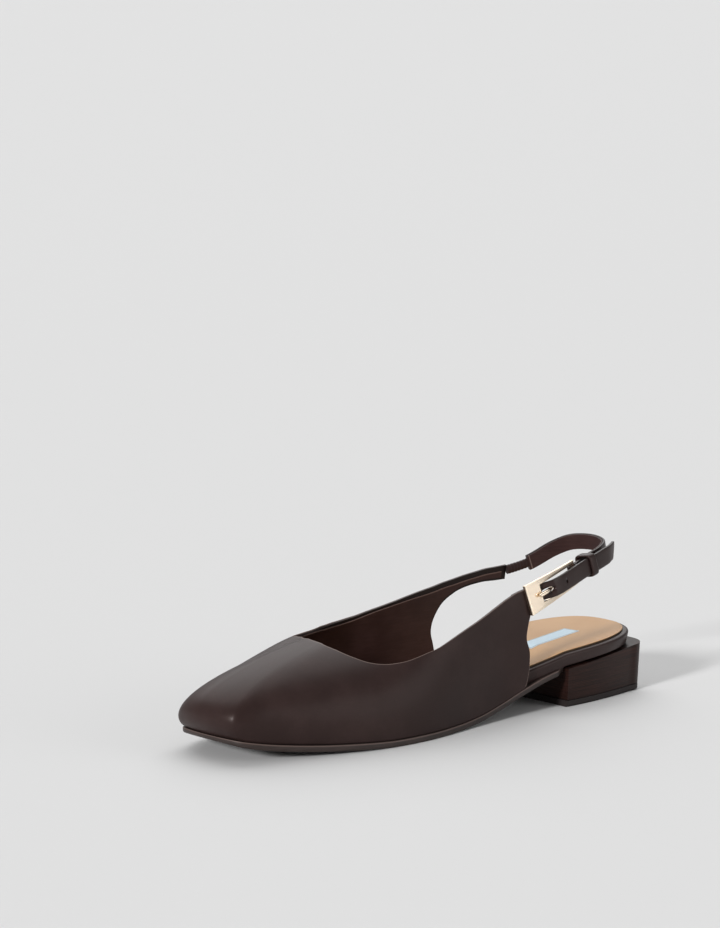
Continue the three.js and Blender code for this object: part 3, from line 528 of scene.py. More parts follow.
def slab(loops, cap_columns=14):
    """Patches of a flat closed piece from loops (outer side, inner side) that run from its top to its
    bottom: its side all round, and a cap at each end that goes straight from side to side."""
    around = np.stack([np.concatenate([outer, inner[::-1]]) for outer, inner in loops])
    share = np.linspace(0, 1, cap_columns)[None, :, None]
    caps = [outer[:, None] * (1 - share) + inner[:, None] * share for outer, inner in (loops[0], loops[-1])]
    level = np.linspace(0, 1, len(loops))[:, None]
    return [patch(around, wrap_columns=True, level=level), patch(caps[0]), patch(caps[1], level=1.0)]


def sole_loop(rows, inset, height):
    """Both sides of a loop that follows the sole's edge, inset mm inside it, at height(x)."""
    sides = []
    for side in (1, -1):
        x, y = edge_point(rows, side, inset)
        sides.append(np.stack([x, y, np.asarray(height(x), float)], axis=-1))
    return tuple(sides)


def rounded_edge(radius, steps=4):
    """(inset, drop) pairs of a quarter circle from a flat top to an upright side."""
    turn = np.linspace(0, np.pi / 2, steps + 1)
    return [(radius * (1 - np.sin(t)), radius * (1 - np.cos(t))) for t in turn]


def tube(rings, **values):
    """A patch through closed rings of points, with each end drawn in to its middle."""
    closed = []
    for ring in (rings[0], rings[-1]):
        middle = ring.mean(axis=0)
        closed.append([middle + (ring - middle) * share for share in END_SHARES])
    stack = np.concatenate([closed[0], rings, closed[1][::-1]])
    more = len(END_SHARES)
    grown = {key: np.concatenate([np.repeat(value[:1], more, axis=0), value,
                                  np.repeat(value[-1:], more, axis=0)])
             for key, value in values.items()}
    return patch(stack, wrap_columns=True, **grown)


def full_turn(points):
    """Angles all round a circle."""
    return np.linspace(0, 2 * np.pi, points, endpoint=False)


def squared_turn(turn, squareness):
    """Point (x, y) on the curve |x|^n + |y|^n = 1 for each angle."""
    return tuple(np.sign(wave) * np.abs(wave) ** (2 / squareness) for wave in (np.cos(turn), np.sin(turn)))


def soft_box(half_across, half_out, squareness, points=48):
    """Closed outline (across, out) on the curve |across / a|^n + |out / b|^n = 1."""
    across, out = squared_turn(full_turn(points), squareness)
    return half_across * across, half_out * out


def strip(places, half_across, middle, half_out, squareness=8.0, slant=0.0):
    """A soft-edged flat strip along the sling, as a tube of soft_box outlines."""
    places = np.asarray(places, float)[:, None]
    half = np.broadcast_to(np.asarray(half_across, float), places.shape[:1])[:, None]
    across, out = soft_box(half, half_out, squareness)
    middles = np.asarray(middle, float)
    rings = sling_point(places + across * np.reshape(slant, (-1, 1)), across, middles[:, None] + out)
    edge = np.abs(across) / half
    return tube(rings, edge=edge, along=np.broadcast_to(places, edge.shape))


def bar_band(away, along):
    """A band round the buckle's rear bar, from its outline: mm away from the bar's axis and along it."""
    turn = full_turn(40)[:, None]
    origin, tangent, up, outward = sling_frame(np.array(BAR_AT))
    rings = (origin + outward * BAR_OUT + up * along[None, :, None]
             + tangent * (away[None, :] * np.cos(turn))[..., None]
             + outward * (away[None, :] * np.sin(turn))[..., None])
    return patch(rings, wrap_rows=True, wrap_columns=True)


def finished(thing, slot, material, *nodes):
    """Sets a piece's body, finish and the CAD nodes that it stands for. slot is not used."""
    thing.data.materials.append(material)
    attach(thing, "root")
    if nodes:
        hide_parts(*nodes)
    return thing


# Materials


class Value:
    """A shader value: Python's arithmetic on it adds Math nodes."""

    def __init__(self, look, socket):
        self.look = look
        self.socket = socket

    def math(self, operation, *others):
        return self.look.node("ShaderNodeMath", {"operation": operation}, self, *others)

    def __add__(self, other):
        return self.math("ADD", other)

    def __sub__(self, other):
        return self.math("SUBTRACT", other)

    def __rsub__(self, other):
        return self.look.node("ShaderNodeMath", {"operation": "SUBTRACT"}, other, self)

    def __mul__(self, other):
        return self.math("MULTIPLY", other)

    def __truediv__(self, other):
        return self.math("DIVIDE", other)

    def __rtruediv__(self, other):
        return self.look.node("ShaderNodeMath", {"operation": "DIVIDE"}, other, self)

    __radd__ = __add__
    __rmul__ = __mul__

    def step(self, low, high):
        """Smooth rise from 0 at low to 1 at high."""
        return self.look.node("ShaderNodeMapRange", {"interpolation_type": "SMOOTHSTEP"}, self, low, high)


class Look:
    """One material and its nodes."""

    def __init__(self, name, **constants):
        self.material = bpy.data.materials.new(name)
        self.material.use_nodes = True
        self.tree = self.material.node_tree
        self.shader = next(node for node in self.tree.nodes if node.type == "BSDF_PRINCIPLED")
        for socket, value in constants.items():
            self.shader.inputs[socket.replace("_", " ")].default_value = value

    def node(self, kind, settings, *inputs, output=0):
        """Adds a node: its settings first, then the values or links of its sockets in their order."""
        node = self.tree.nodes.new(kind)
        for key, value in settings.items():
            setattr(node, key, value)
        for socket, value in zip([each for each in node.inputs if each.enabled], inputs):
            self.put(socket, value)
        outputs = [each for each in node.outputs if each.enabled]
        return Value(self, outputs[output])

    def put(self, socket, value):
        if value is None:
            return
        if isinstance(value, Value):
            self.tree.links.new(value.socket, socket)
        elif socket.type == "RGBA" and len(value) == 3:
            socket.default_value = (*value, 1.0)
        else:
            socket.default_value = value

    def place(self, scale=(1, 1, 1), turn=(0, 0, 0)):
        """Object coordinates, scaled and turned."""
        coordinates = self.node("ShaderNodeTexCoord", {}, output=3)
        return self.node("ShaderNodeMapping", {"vector_type": "POINT"}, coordinates, (0, 0, 0), turn, scale)

    def noise(self, scale, detail=3.0, roughness=0.55, at=None):
        """Soft noise of about 0 to 1, with scale in bumps a metre."""
        where = at if at is not None else self.place()
        return self.node("ShaderNodeTexNoise", {"noise_dimensions": "3D"}, where, scale, detail, roughness)

    def cells(self, scale, at):
        """Distance to the nearest cell's middle, for fine creases."""
        return self.node("ShaderNodeTexVoronoi", {"feature": "F1"}, at, scale)

    def attribute(self, name):
        return self.node("ShaderNodeAttribute", {"attribute_name": name}, output=2)

    def mix(self, share, first, second):
        """Colour that goes from first to second."""
        return self.node("ShaderNodeMix", {"data_type": "RGBA"}, share, first, second)

    def height(self, value, strength, distance):
        """Bump of a height in metres."""
        bump = self.node("ShaderNodeBump", {}, strength, distance)
        self.tree.links.new(value.socket, bump.socket.node.inputs["Height"])
        return bump

    def finish(self, colour, roughness, normal=None):
        """Links what changes over the surface to the shader."""
        for socket, value in (("Base Color", colour), ("Roughness", roughness), ("Normal", normal)):
            self.put(self.shader.inputs[socket], value)
        return self.material


def scaled(colour, factor):
    """A colour times a number."""
    return tuple(part * factor for part in colour)


def line_share(value, low, high, soft):
    """1 where a distance lies between low and high mm, with soft ends."""
    return value.step(low - soft, low) * (1.0 - value.step(high, high + soft))


def smooth_leather(name, settings, roughness, coat, edge_colour=None, folded=False):
    """Smooth calf: patches of a lighter tone, fine pores and a soft coat. edge_colour inks a strap's edges.
    folded darkens what is turned in over the topline with edge ink and painted shade of the groove there, and
    paints a pale highlight line along the topline and the rear edges."""
    look = Look(name, Coat_Weight=coat, Coat_Roughness=0.3, IOR=1.45, Specular_IOR_Level=0.16,
                Specular_Tint=CALF_TINT)
    cloud = look.noise(38.0, 4.0, 0.6)
    pores = look.noise(2600.0, 3.0, 0.6)
    creases = look.cells(1500.0, look.place((1, 1.25, 1)))
    tone = look.mix((cloud - 0.35).step(0.0, 0.4), settings.colour, settings.light_colour)
    tone = look.mix(pores.step(0.35, 0.7) * 0.18, tone, scaled(settings.colour, 0.45))
    if edge_colour is not None:
        tone = look.mix(look.attribute("edge").step(0.90, 0.99) * 0.8, tone, edge_colour)
    if folded:
        inward = look.attribute("inward")
        # Inner face in the fold above the lining: edge ink and painted shade of the groove between the
        # leather and the lining.
        tone = look.mix(inward.step(0.45, 0.8), tone, FOLD_INK_AND_SHADE_COLOUR)
        # Painted highlight: a pale line on the outer face along the topline and the rear edges.
        near = 1.0 - look.attribute("from_top").math("MINIMUM", look.attribute("from_rear")).step(0.15, 0.5)
        outward = 1.0 - inward.step(0.2, 0.55)
        tone = look.mix(near * outward * 0.85, tone, settings.edge_highlight)
    rough = roughness + (cloud - 0.5) * 0.14 + (pores - 0.5) * 0.10
    bump = look.height(pores * 0.6 + creases * 0.5, 0.35, 0.00006)
    return look.finish(colour=tone, roughness=rough, normal=bump)


def lining_leather(name, settings, line_name, line_at, highlight_colour):
    """Lining: reddish brown with fine level grain lines, and a painted highlight line between two values in
    mm of the named attribute."""
    look = Look(name, IOR=1.45, Specular_IOR_Level=0.35, Specular_Tint=LINING_TINT)
    cloud = look.noise(60.0, 3.0)
    lines = look.noise(420.0, 4.0, 0.6, look.place((0.25, 0.25, 4.0)))
    tone = look.mix((cloud * 0.5 + lines * 0.5).step(0.35, 0.68), settings.lining_colour,
                    settings.lining_light)
    # Painted highlight: a pale line where the named attribute lies between the two values.
    tone = look.mix(line_share(look.attribute(line_name), *line_at, 0.15) * 0.8, tone, highlight_colour)
    bump = look.height(lines, 0.4, 0.00008)
    return look.finish(colour=tone, roughness=0.55 + (lines - 0.5) * 0.2, normal=bump)


def sole_edge_finish(name, colour, light_colour):
    """Sole: dark inked edge with level wear lines and a painted highlight along its upper corner."""
    look = Look(name, IOR=1.45, Specular_IOR_Level=0.35)
    lines = look.noise(260.0, 4.0, 0.6, look.place((0.3, 0.3, 5.0)))
    cloud = look.noise(90.0, 3.0)
    tone = look.mix((lines * 0.7 + cloud * 0.3).step(0.35, 0.7), colour, light_colour)
    # Painted highlight: a pale line along the rounded upper corner of the sole's edge.
    corner = line_share(look.attribute("level"), 0.12, 0.37, 0.04)
    tone = look.mix(corner * 0.8, tone, scaled(light_colour, 2.6))
    bump = look.height(lines, 0.5, 0.0001)
    return look.finish(colour=tone, roughness=0.48 + (cloud - 0.5) * 0.25, normal=bump)


def stacked_heel_finish(name, colour, streak_colour, layer):
    """Stacked heel: level layers with thin dark joints, reddish streaks inside each, and painted shade that
    darkens it towards the bottom.
    """
    look = Look(name, IOR=1.45, Specular_IOR_Level=0.2, Specular_Tint=CALF_TINT)
    where = look.place()
    _, _, level = separated(look, where)
    bend = look.noise(30.0, 2.0)
    height = level + (bend - 0.5) * 0.0006
    joint = look.node("ShaderNodeMath", {"operation": "PINGPONG"}, height, layer / 2)
    seam = 1.0 - joint.step(0.0, 0.00012)
    streaks = look.noise(300.0, 5.0, 0.65, look.place((0.12, 0.12, 9.0)))
    tone = look.mix(streaks.step(0.40, 0.66), colour, streak_colour)
    tone = look.mix(seam * 0.7, tone, scaled(colour, 0.35))
    # Painted shade: darker towards the bottom, within 10 mm of the floor.
    tone = look.mix((1.0 - level.step(0.0, 0.010)) * 0.6, tone, scaled(colour, 0.6))
    bump = look.height(streaks * 0.6 - seam * 0.8, 0.5, 0.00008)
    return look.finish(colour=tone, roughness=0.42 + (streaks - 0.5) * 0.2, normal=bump)


def separated(look, vector):
    """The three parts of a vector."""
    node = look.node("ShaderNodeSeparateXYZ", {}, vector).socket.node
    return tuple(Value(look, socket) for socket in node.outputs)


def rubber_finish(name, colour):
    """Matte rubber with fine specks."""
    look = Look(name, IOR=1.45)
    speck = look.noise(900.0, 4.0, 0.7)
    tone = look.mix(speck.step(0.4, 0.75), colour, scaled(colour, 1.5))
    bump = look.height(speck, 0.4, 0.0001)
    return look.finish(colour=tone, roughness=0.68 + (speck - 0.5) * 0.2, normal=bump)


def sock_finish(name, colour, shade_colour):
    """Sock lining: tan leather with a satin face, faint pores and pale wear."""
    look = Look(name, Coat_Weight=0.04, Coat_Roughness=0.35, IOR=1.45, Specular_IOR_Level=0.3)
    cloud = look.noise(22.0, 3.0)
    pores = look.noise(2200.0, 3.0)
    tone = look.mix(cloud.step(0.3, 0.7), colour, shade_colour)
    tone = look.mix(pores.step(0.45, 0.75) * 0.15, tone, scaled(shade_colour, 0.7))
    # Darkens the sock's side, from halfway round its rounded top edge down to the footbed.
    dark_side = line_share(look.attribute("level"), 0.5, 1.0, 0.2)
    tone = look.mix(dark_side, tone, scaled(colour, 0.12))
    bump = look.height(pores, 0.3, 0.00005)
    return look.finish(colour=tone, roughness=0.42 + (cloud - 0.5) * 0.1, normal=bump)


def woven_label_finish(name, colour, thread_colour):
    """Woven label: fine threads one way over the other, with a thin line inside its border."""
    look = Look(name, IOR=1.45)
    x, y, _ = separated(look, look.place())
    warp_spacing, weft_spacing = 0.00034, 0.00042
    warp = (y * 2 * np.pi / warp_spacing).math("SINE")
    weft = (x * 2 * np.pi / weft_spacing).math("SINE")
    weave = warp * weft
    tone = look.mix(weave.step(-0.6, 0.8), colour, thread_colour)
    border = look.attribute("border")
    tone = look.mix(line_share(border, 0.45, 0.75, 0.15) * 0.75, tone, scaled(colour, 0.3))
    return look.finish(colour=tone, roughness=0.5 + weave * 0.08, normal=look.height(weave, 0.5, 0.00006))


def pale_gold_finish(name, colour, roughness):
    """Polished pale gold plating with hairline rubs."""
    look = Look(name, Metallic=1.0)
    rubs = look.noise(700.0, 3.0, 0.6, look.place((0.2, 1.0, 5.0)))
    cloud = look.noise(120.0, 3.0)
    tone = look.mix(cloud.step(0.35, 0.7) * 0.5, colour, scaled(colour, 0.88))
    rough = roughness + (rubs - 0.5) * 0.10 + (cloud - 0.5) * 0.06
    return look.finish(colour=tone, roughness=rough, normal=look.height(rubs, 0.15, 0.00002))


def floor_finish(name, colour):
    """Matte painted floor."""
    look = Look(name, IOR=1.3)
    speck = look.noise(400.0, 2.0)
    tone = look.mix(speck * 0.3, colour, scaled(colour, 0.99))
    return look.finish(colour=tone, roughness=0.75 + speck * 0.05)


# Settings


def colour_setting(name, description, default):
    return FloatVectorProperty(name=name, description=description, subtype="COLOR", default=default,
                               min=0, max=1)


def length_setting(name, description, default, least, most):
    """A length in metres, with its default and the range it may take."""
    return FloatProperty(name=name, description=description, default=default, min=least, max=most,
                         unit="LENGTH", precision=5)


class ShoeUpperSettings(bpy.types.PropertyGroup):
    """The vamp and quarters."""
    leather: length_setting("Leather", "Thickness of the outer leather", 0.0011, 0.0004, 0.002)
    fold: length_setting("Fold", "Depth of the leather turned in over the topline",
                         0.0026, 0.001, 0.006)
    colour: colour_setting("Leather colour", "Darker tone of the calf leather", (0.024, 0.0135, 0.0125))
    light_colour: colour_setting("Light tone", "Lighter tone of the calf leather",
                                 (0.036, 0.021, 0.0195))
    # Painted highlight along the upper's topline and rear edges, also used for the line near the strap
    # lining's end.
    edge_highlight: colour_setting("Edge line", "Pale cut edge along the topline", (0.17, 0.125, 0.11))
    lining_colour: colour_setting("Lining colour", "Darker tone of the lining", (0.022, 0.0085, 0.0085))
    lining_light: colour_setting("Lining light tone", "Lighter tone of the lining",
                                 (0.040, 0.019, 0.018))


class ShoeSoleSettings(bpy.types.PropertyGroup):
    """The outsole, heel, top lift and footbed."""
    colour: colour_setting("Sole colour", "Inked edge of the outsole", (0.026, 0.018, 0.016))
    # Lighter wear lines; at 2.6 times this colour it is also the painted highlight along the outsole's upper
    # corner.
    light_colour: colour_setting("Sole wear", "Lighter lines on the outsole's edge",
                                 (0.046, 0.031, 0.027))
    heel_colour: colour_setting("Heel colour", "Stained stack of the heel", (0.010, 0.0042, 0.0035))
    heel_streaks: colour_setting("Heel streaks", "Reddish streaks in the stack", (0.036, 0.014, 0.0105))
    layer: length_setting("Heel layer", "Thickness of one layer of the stack", 0.0024, 0.001, 0.006)
    lift_colour: colour_setting("Lift colour", "Rubber of the top lift", (0.009, 0.0045, 0.004))


class ShoeSockSettings(bpy.types.PropertyGroup):
    """The sock and its blank label."""
    colour: colour_setting("Sock colour", "Tan leather of the sock", (0.50, 0.28, 0.115))
    shade_colour: colour_setting("Sock shade", "Darker tone of the tan leather", (0.44, 0.24, 0.095))
    label_colour: colour_setting("Label colour", "Ground of the woven label", (0.50, 0.62, 0.70))
    label_width: length_setting("Label width", "Width of the blank label", 0.0092, 0.004, 0.02)


class ShoeBuckleSettings(bpy.types.PropertyGroup):
    """The buckle."""
    colour: colour_setting("Plating", "Pale gold plating", (1.0, 0.85, 0.68))
    roughness: FloatProperty(name="Roughness", description="Polish of the plating",
                             default=0.22, min=0, max=1, subtype="FACTOR")
    edge_round: length_setting("Edge round", "Radius of the frame's edges", 0.00035, 0.0001, 0.0008)


class ShoeStageSettings(bpy.types.PropertyGroup):
    """The floor, lights and camera."""
    floor_colour: colour_setting("Floor colour", "Pale studio floor", (0.70, 0.70, 0.70))
    surround: FloatProperty(name="Surround", description="Brightness of the light all round",
                            default=0.28, min=0, max=3)


# Pieces

LINE_STEPS = 40
LINE_ROWS = 6
TOE_LINES = 7
TOE_LINE_ROWS = 85
FAR_FROM_EDGE = 9.0
ABOVE_FOOT = 0.01
LINING_START_LINE = 0.4
LINING_REAR_TRIM = 1.2
LINING_OVERLAP = 0.1


def line_value(lines, column, row):
    return at_row(lines[:, column], row)


def wall_lines(lines, rows, shares_of):
    """Sections and angles of points on lines up the wall. shares_of gives each line's shares."""
    foot_section = line_value(lines, 0, rows)
    foot_angle = np.maximum(line_value(lines, 1, rows), 0)
    top_section, top_angle = line_value(lines, 2, rows), line_value(lines, 3, rows)
    shares = shares_of(foot_section, foot_angle, top_section, top_angle)
    section = np.minimum(foot_section[:, None] + (top_section - foot_section)[:, None] * shares, TIP)
    angle = foot_angle[:, None] + (top_angle - foot_angle)[:, None] * shares
    return section, angle


def line_rows(lines, start=0.0):
    """Row numbers of the wall's lines, closer together round the toe."""
    last = len(lines) - 1
    toe = last - TOE_LINES
    return np.concatenate([np.linspace(start, toe, LINE_ROWS * toe),
                           np.linspace(toe, last, TOE_LINE_ROWS)[1:]])


def wall_sheet(depth, trim_top, trim_rear):
    """Grid of the upper's face moved in by depth mm, trimmed by mm at the topline and the rear edges,
    from the outer quarter round the toe to the inner quarter. With it come the distances in mm of its
    points to the trimmed topline and to the trimmed rear edge along each line up the wall."""
    sheets, tops, rears = [], [], []
    for lines, side in ((OUTER_LINES, 1), (INNER_LINES, -1)):
        rows = line_rows(lines, LINING_START_LINE if trim_rear else 0.0)

        def shares(foot_section, foot_angle, top_section, top_angle):
            ends = [last_point(*end, side) for end in ((foot_section, foot_angle), (top_section, top_angle))]
            length = np.linalg.norm(ends[1] - ends[0], axis=-1)
            low = np.where(foot_angle > ABOVE_FOOT, trim_rear / length, 0)
            high = 1 - trim_top / length
            spread = np.linspace(0, 1, LINE_STEPS + 1)
            run = ((high - low) * length)[:, None]
            tops.append(run * (1 - spread))
            rears.append(np.where(foot_angle[:, None] > ABOVE_FOOT, run * spread, FAR_FROM_EDGE))
            return low[:, None] + (high - low)[:, None] * spread

        section, angle = wall_lines(lines, rows, shares)
        normal = last_normal(section, angle, side)
        at_foot = angle < ABOVE_FOOT
        normal[at_foot] = unit(normal[at_foot] * (1, 1, 0))
        sheets.append(last_point(section, angle, side) - normal * depth)
    return tuple(np.concatenate([outer, inner[::-1][1:]]) for outer, inner in (sheets, tops, rears))


def sheet_solid(outside, inside, **values):
    """Patches of a closed sheet: two faces and a strip along each of its four edges. Each value is a
    grid that holds for both faces. inward goes from 0 on the outer face to 1 on the inner one."""
    def edge(index):
        ends = {key: np.stack([value[index], value[index]]) for key, value in values.items()}
        return patch(np.stack([outside[index], inside[index]]), inward=[[0.0], [1.0]], **ends)

    return [patch(outside, **values), patch(inside, inward=1.0, **values)] + [
        edge(index) for index in (0, -1, np.s_[:, 0], np.s_[:, -1])]


def bevelled(thing, width, segments=3, angle=50.0):
    """Rounds a piece's sharp edges with a live bevel of a width in metres."""
    bevel = thing.modifiers.new("Edge", "BEVEL")
    bevel.width = width
    bevel.segments = segments
    bevel.limit_method = "ANGLE"
    bevel.angle_limit = np.radians(angle)
    bevel.use_clamp_overlap = True
    bevel.harden_normals = True
    return thing


class SHOE_OT_upper(bpy.types.Operator):
    """Outer leather of the vamp and quarters, folded in over the topline"""
    bl_idname = "shoe.upper"
    bl_label = "Upper leather"

    def execute(self, context):
        settings = context.scene.shoe_upper
        leather = settings.leather / MM
        outside, from_top, from_rear = wall_sheet(0.0, 0.0, 0.0)
        inside, _, _ = wall_sheet(leather, 0.0, 0.0)
        sheet = sheet_solid(outside, inside, from_top=from_top, from_rear=from_rear)
        thing = bevelled(mesh_object("upper_leather", sheet), width=0.0004)
        material = smooth_leather("upper_calf", settings, roughness=0.44, coat=0.09, folded=True)
        finished(thing, "upper_leather", material, "upper")
        return {"FINISHED"}


class SHOE_OT_lining(bpy.types.Operator):
    """Lining of the vamp and quarters, trimmed below the fold"""
    bl_idname = "shoe.lining"
    bl_label = "Upper lining"

    def execute(self, context):
        settings = context.scene.shoe_upper
        leather, fold = settings.leather / MM, settings.fold / MM
        outside, from_top, _ = wall_sheet(leather - LINING_OVERLAP, fold, LINING_REAR_TRIM)
        inside, _, _ = wall_sheet(UPPER_WALL, fold, LINING_REAR_TRIM)
        lining = mesh_object("upper_lining", sheet_solid(outside, inside, from_top=from_top))
        bevelled(lining, width=0.00015, segments=2)
        # Painted highlight along the lining's top edge, within 0.35 mm of it.
        material = lining_leather("lining_leather", settings, "from_top", (0.0, 0.35), LINING_EDGE_HIGHLIGHT)
        finished(lining, "upper_leather", material)
        return {"FINISHED"}


class SHOE_OT_tab(bpy.types.Operator):
    """Buckle tab that runs out of the outer quarter, with its slot for the prong and a spare hole"""
    bl_idname = "shoe.tab"
    bl_label = "Buckle tab"

    def execute(self, context):
        settings = context.scene.shoe_upper
        under_plate, past_slot = 9, 24
        places = np.concatenate([np.linspace(-TAB_ROOT, under_plate, 30),
                                 np.linspace(under_plate, past_slot, 60)[1:],
                                 np.linspace(past_slot, TAB_LENGTH, 110)[1:]])
        tipping = smoothstep(places, TAB_LENGTH - TAB_TIP_LENGTH, TAB_LENGTH)
        narrowing = smoothstep(places, TAB_NARROWS_FROM, PLATE_DEPTH)
        width = (TAB_ROOT_WIDTH + (TAB_WIDTH - TAB_ROOT_WIDTH) * narrowing
                 + (TAB_TIP_WIDTH - TAB_WIDTH) * tipping)
        sunk = TAB_SINK * (1 - smoothstep(places, TAB_SURFACES_FROM, PLATE_DEPTH))
        body = strip(places, width / 2, at_place(TAB_RISE, 1, places) - sunk, TAB_THICKNESS / 2,
                     squareness=6.0, slant=TAB_TIP_SLANT * tipping)
        thing = mesh_object("buckle_tab", [body])
        for place, half_along, half_across in (
                (PRONG_HOLE_AT, PRONG_SLOT_LENGTH / 2, PRONG_SLOT_WIDTH / 2),
                (PRONG_HOLE_AT + TAB_HOLE_SPACING, TAB_HOLE / 2, TAB_HOLE / 2)):
            punched(thing, place, half_along, half_across)
        material = smooth_leather("tab_calf", settings, roughness=0.38, coat=0.3,
                                  edge_colour=TAB_EDGE_COLOUR)
        finished(thing, "upper_leather", material)
        return {"FINISHED"}


def punched(thing, place, half_along, half_across):
    """Cuts an oval hole through the tab by an exact boolean, and keeps the cut mesh."""
    cut_reach = 4.0
    outs = np.array([-cut_reach, cut_reach])[:, None] + at_place(TAB_RISE, 1, place)
    turn = full_turn(32)[None, :]
    origin, tangent, up, out = sling_frame(np.array(place))
    rings = (origin + tangent * half_along * np.cos(turn)[..., None]
             + up * half_across * np.sin(turn)[..., None] + out * outs[..., None])
    cutter = mesh_object("hole_cutter", [tube(rings)])
    cut = thing.modifiers.new("Hole", "BOOLEAN")
    cut.operation = "DIFFERENCE"
    cut.solver = "EXACT"
    cut.object = cutter
    keep_modified(thing)
    bpy.data.objects.remove(cutter)


def keep_modified(thing):
    """Replaces a piece's mesh by what its modifiers make of it."""
    depsgraph = bpy.context.evaluated_depsgraph_get()
    mesh = bpy.data.meshes.new_from_object(thing.evaluated_get(depsgraph))
    thing.modifiers.clear()
    thing.data = mesh


class SHOE_OT_outsole(bpy.types.Operator):
    """Outsole with a thin top edge and a rounded lower edge"""
    bl_idname = "shoe.outsole"
    bl_label = "Outsole"

    def execute(self, context):
        settings = context.scene.shoe_sole
        behind, breast = section_at(BREAST_X - BREAST_STEP / 2), section_at(BREAST_X + BREAST_STEP / 2)
        waist = section_at(BREAST_X + SEAT_TAPER)
        rows = np.concatenate([np.linspace(0, behind, 60), np.linspace(breast, waist, 10),
                               np.linspace(waist, TOE_ROW, 70)[1:], np.linspace(TOE_ROW, TIP, 120)[1:]])
        recess = SEAT_SOLE_INSET * (1 - smoothstep(rows, breast, waist))

        def bounded(x, amount):
            return np.minimum(amount, (sole_top(x) - sole_bottom(x)) / 2)

        loops = [sole_loop(rows, recess + inset, lambda x, drop=drop: sole_top(x) - bounded(x, drop))
                 for inset, drop in rounded_edge(radius=0.3, steps=3)]
        loops += [sole_loop(rows, recess + inset, lambda x, drop=drop: sole_bottom(x) + bounded(x, drop))
                  for inset, drop in rounded_edge(SOLE_BEVEL, 4)[::-1]]
        thing = mesh_object("outsole_edge", slab(loops))
        finished(thing, "outsole", sole_edge_finish("sole_edge", settings.colour, settings.light_colour),
                 "outsole")
        return {"FINISHED"}


def heel_outline(inset):
    """Half outline of the heel block in plan, from the breast to the back: sides that draw in by a
    quarter sine, then a corner x = sin(t)^0.8, y = cos(t)^0.42 of its size."""
    steps = 18

    def side_at(x):
        return HEEL_HALF_BACK + (HEEL_HALF_FRONT - HEEL_HALF_BACK) * np.sin(np.pi / 2 * x / HEEL_LENGTH)

    sides = np.linspace(HEEL_LENGTH, HEEL_CORNER, steps)
    turn = np.linspace(0, np.pi / 2, steps)[1:]
    x = np.concatenate([sides, HEEL_CORNER - (HEEL_CORNER + HEEL_BULGE) * np.sin(turn) ** 0.8])
    half = np.concatenate([side_at(sides), side_at(HEEL_CORNER) * np.cos(turn) ** 0.42])
    pull = np.clip(1 - 2 * x / HEEL_LENGTH, 0, 1)
    return x + inset * pull, np.maximum(half - inset, 0)


def heel_loop(inset, height):
    """Both sides of the heel's outline, inset mm inside it, at height(x)."""
    x, half = heel_outline(inset)
    z = np.broadcast_to(height(x), x.shape)
    return np.stack([x, half, z], axis=-1)[::-1], np.stack([x, -half, z], axis=-1)[::-1]


class SHOE_OT_heel(bpy.types.Operator):
    """Stacked heel block and its top lift"""
    bl_idname = "shoe.heel"
    bl_label = "Heel"

    def execute(self, context):
        settings = context.scene.shoe_sole
        low = LIFT_THICKNESS + FIT
        shares = np.linspace(0, 1, 7)
        loops = [heel_loop(HEEL_DRAW * share, lambda x, share=share: heel_top(x) * (1 - share) + low * share)
                 for share in shares]
        block = mesh_object("heel_stack", slab(loops), sharp=30)
        bevelled(block, width=0.0003, segments=2)
        material = stacked_heel_finish("heel_stack", settings.heel_colour, settings.heel_streaks,
                                       settings.layer)
        finished(block, "heel_stack", material, "heel_block")
        lift = mesh_object("heel_lift", slab([
            heel_loop(HEEL_DRAW, lambda x: x * 0 + LIFT_THICKNESS),
            heel_loop(HEEL_DRAW, lambda x: x * 0 + LIFT_BEVEL),
            heel_loop(HEEL_DRAW + LIFT_BEVEL, lambda x: x * 0),
        ]), sharp=30)
        bevelled(lift, width=0.0002, segments=2)
        finished(lift, "top_lift", rubber_finish("lift_rubber", settings.lift_colour), "top_lift")
        return {"FINISHED"}


def edge_rows():
    """Section numbers along the footbed, closer together round the toe."""
    return np.concatenate([np.linspace(0, TOE_ROW, 130), np.linspace(TOE_ROW, TIP, 80)[1:]])


class SHOE_OT_footbed(bpy.types.Operator):
    """Insole board with the leather-wrapped rim of the heel seat"""
    bl_idname = "shoe.footbed"
    bl_label = "Footbed rim"

    def execute(self, context):
        settings = context.scene.shoe_upper
        rows = edge_rows()
        base = section_value("inset", rows)

        def depth(share):
            return lambda x: footbed_bottom(x) + (footbed_top(x) - footbed_bottom(x)) * share

        def rounded(drop):
            return lambda x: footbed_top(x) - np.minimum(drop, (footbed_top(x) - footbed_bottom(x)) / 2)

        loops = [sole_loop(rows, base + inset, rounded(drop)) for inset, drop in rounded_edge(RIM_ROUND, 5)]
        loops += [sole_loop(rows, base + RIM_FLARE / 2, depth(0.35)),
                  sole_loop(rows, base + RIM_FLARE, depth(0.0))]
        thing = mesh_object("seat_rim", slab(loops))
        material = smooth_leather("rim_calf", settings, roughness=0.45, coat=0.2)
        finished(thing, "rim_leather", material, "footbed")
        return {"FINISHED"}


class SHOE_OT_sock(bpy.types.Operator):
    """Tan sock lining and its blank woven label"""
    bl_idname = "shoe.sock"
    bl_label = "Sock"

    def execute(self, context):
        settings = context.scene.shoe_sock
        rows = edge_rows()
        covered = smoothstep(rows, QUARTER_SECTION, QUARTER_SECTION + 1)
        base = (section_value("inset", rows) + SOCK_BORDER
                + (RIM_ROUND + SOCK_SIDE_GAP - SOCK_BORDER) * covered)
        loops = [sole_loop(rows, base + inset, lambda x, drop=drop: sock_top(x) - drop)
                 for inset, drop in rounded_edge(radius=0.35, steps=3)]
        loops += [sole_loop(rows, base, lambda x: footbed_top(x) + FIT / 2)]
        thing = mesh_object("sock_lining", slab(loops, cap_columns=24))
        material = sock_finish("sock_leather", settings.colour, settings.shade_colour)
        finished(thing, "sock_leather", material, "sock")
        blank_label(settings)
        return {"FINISHED"}


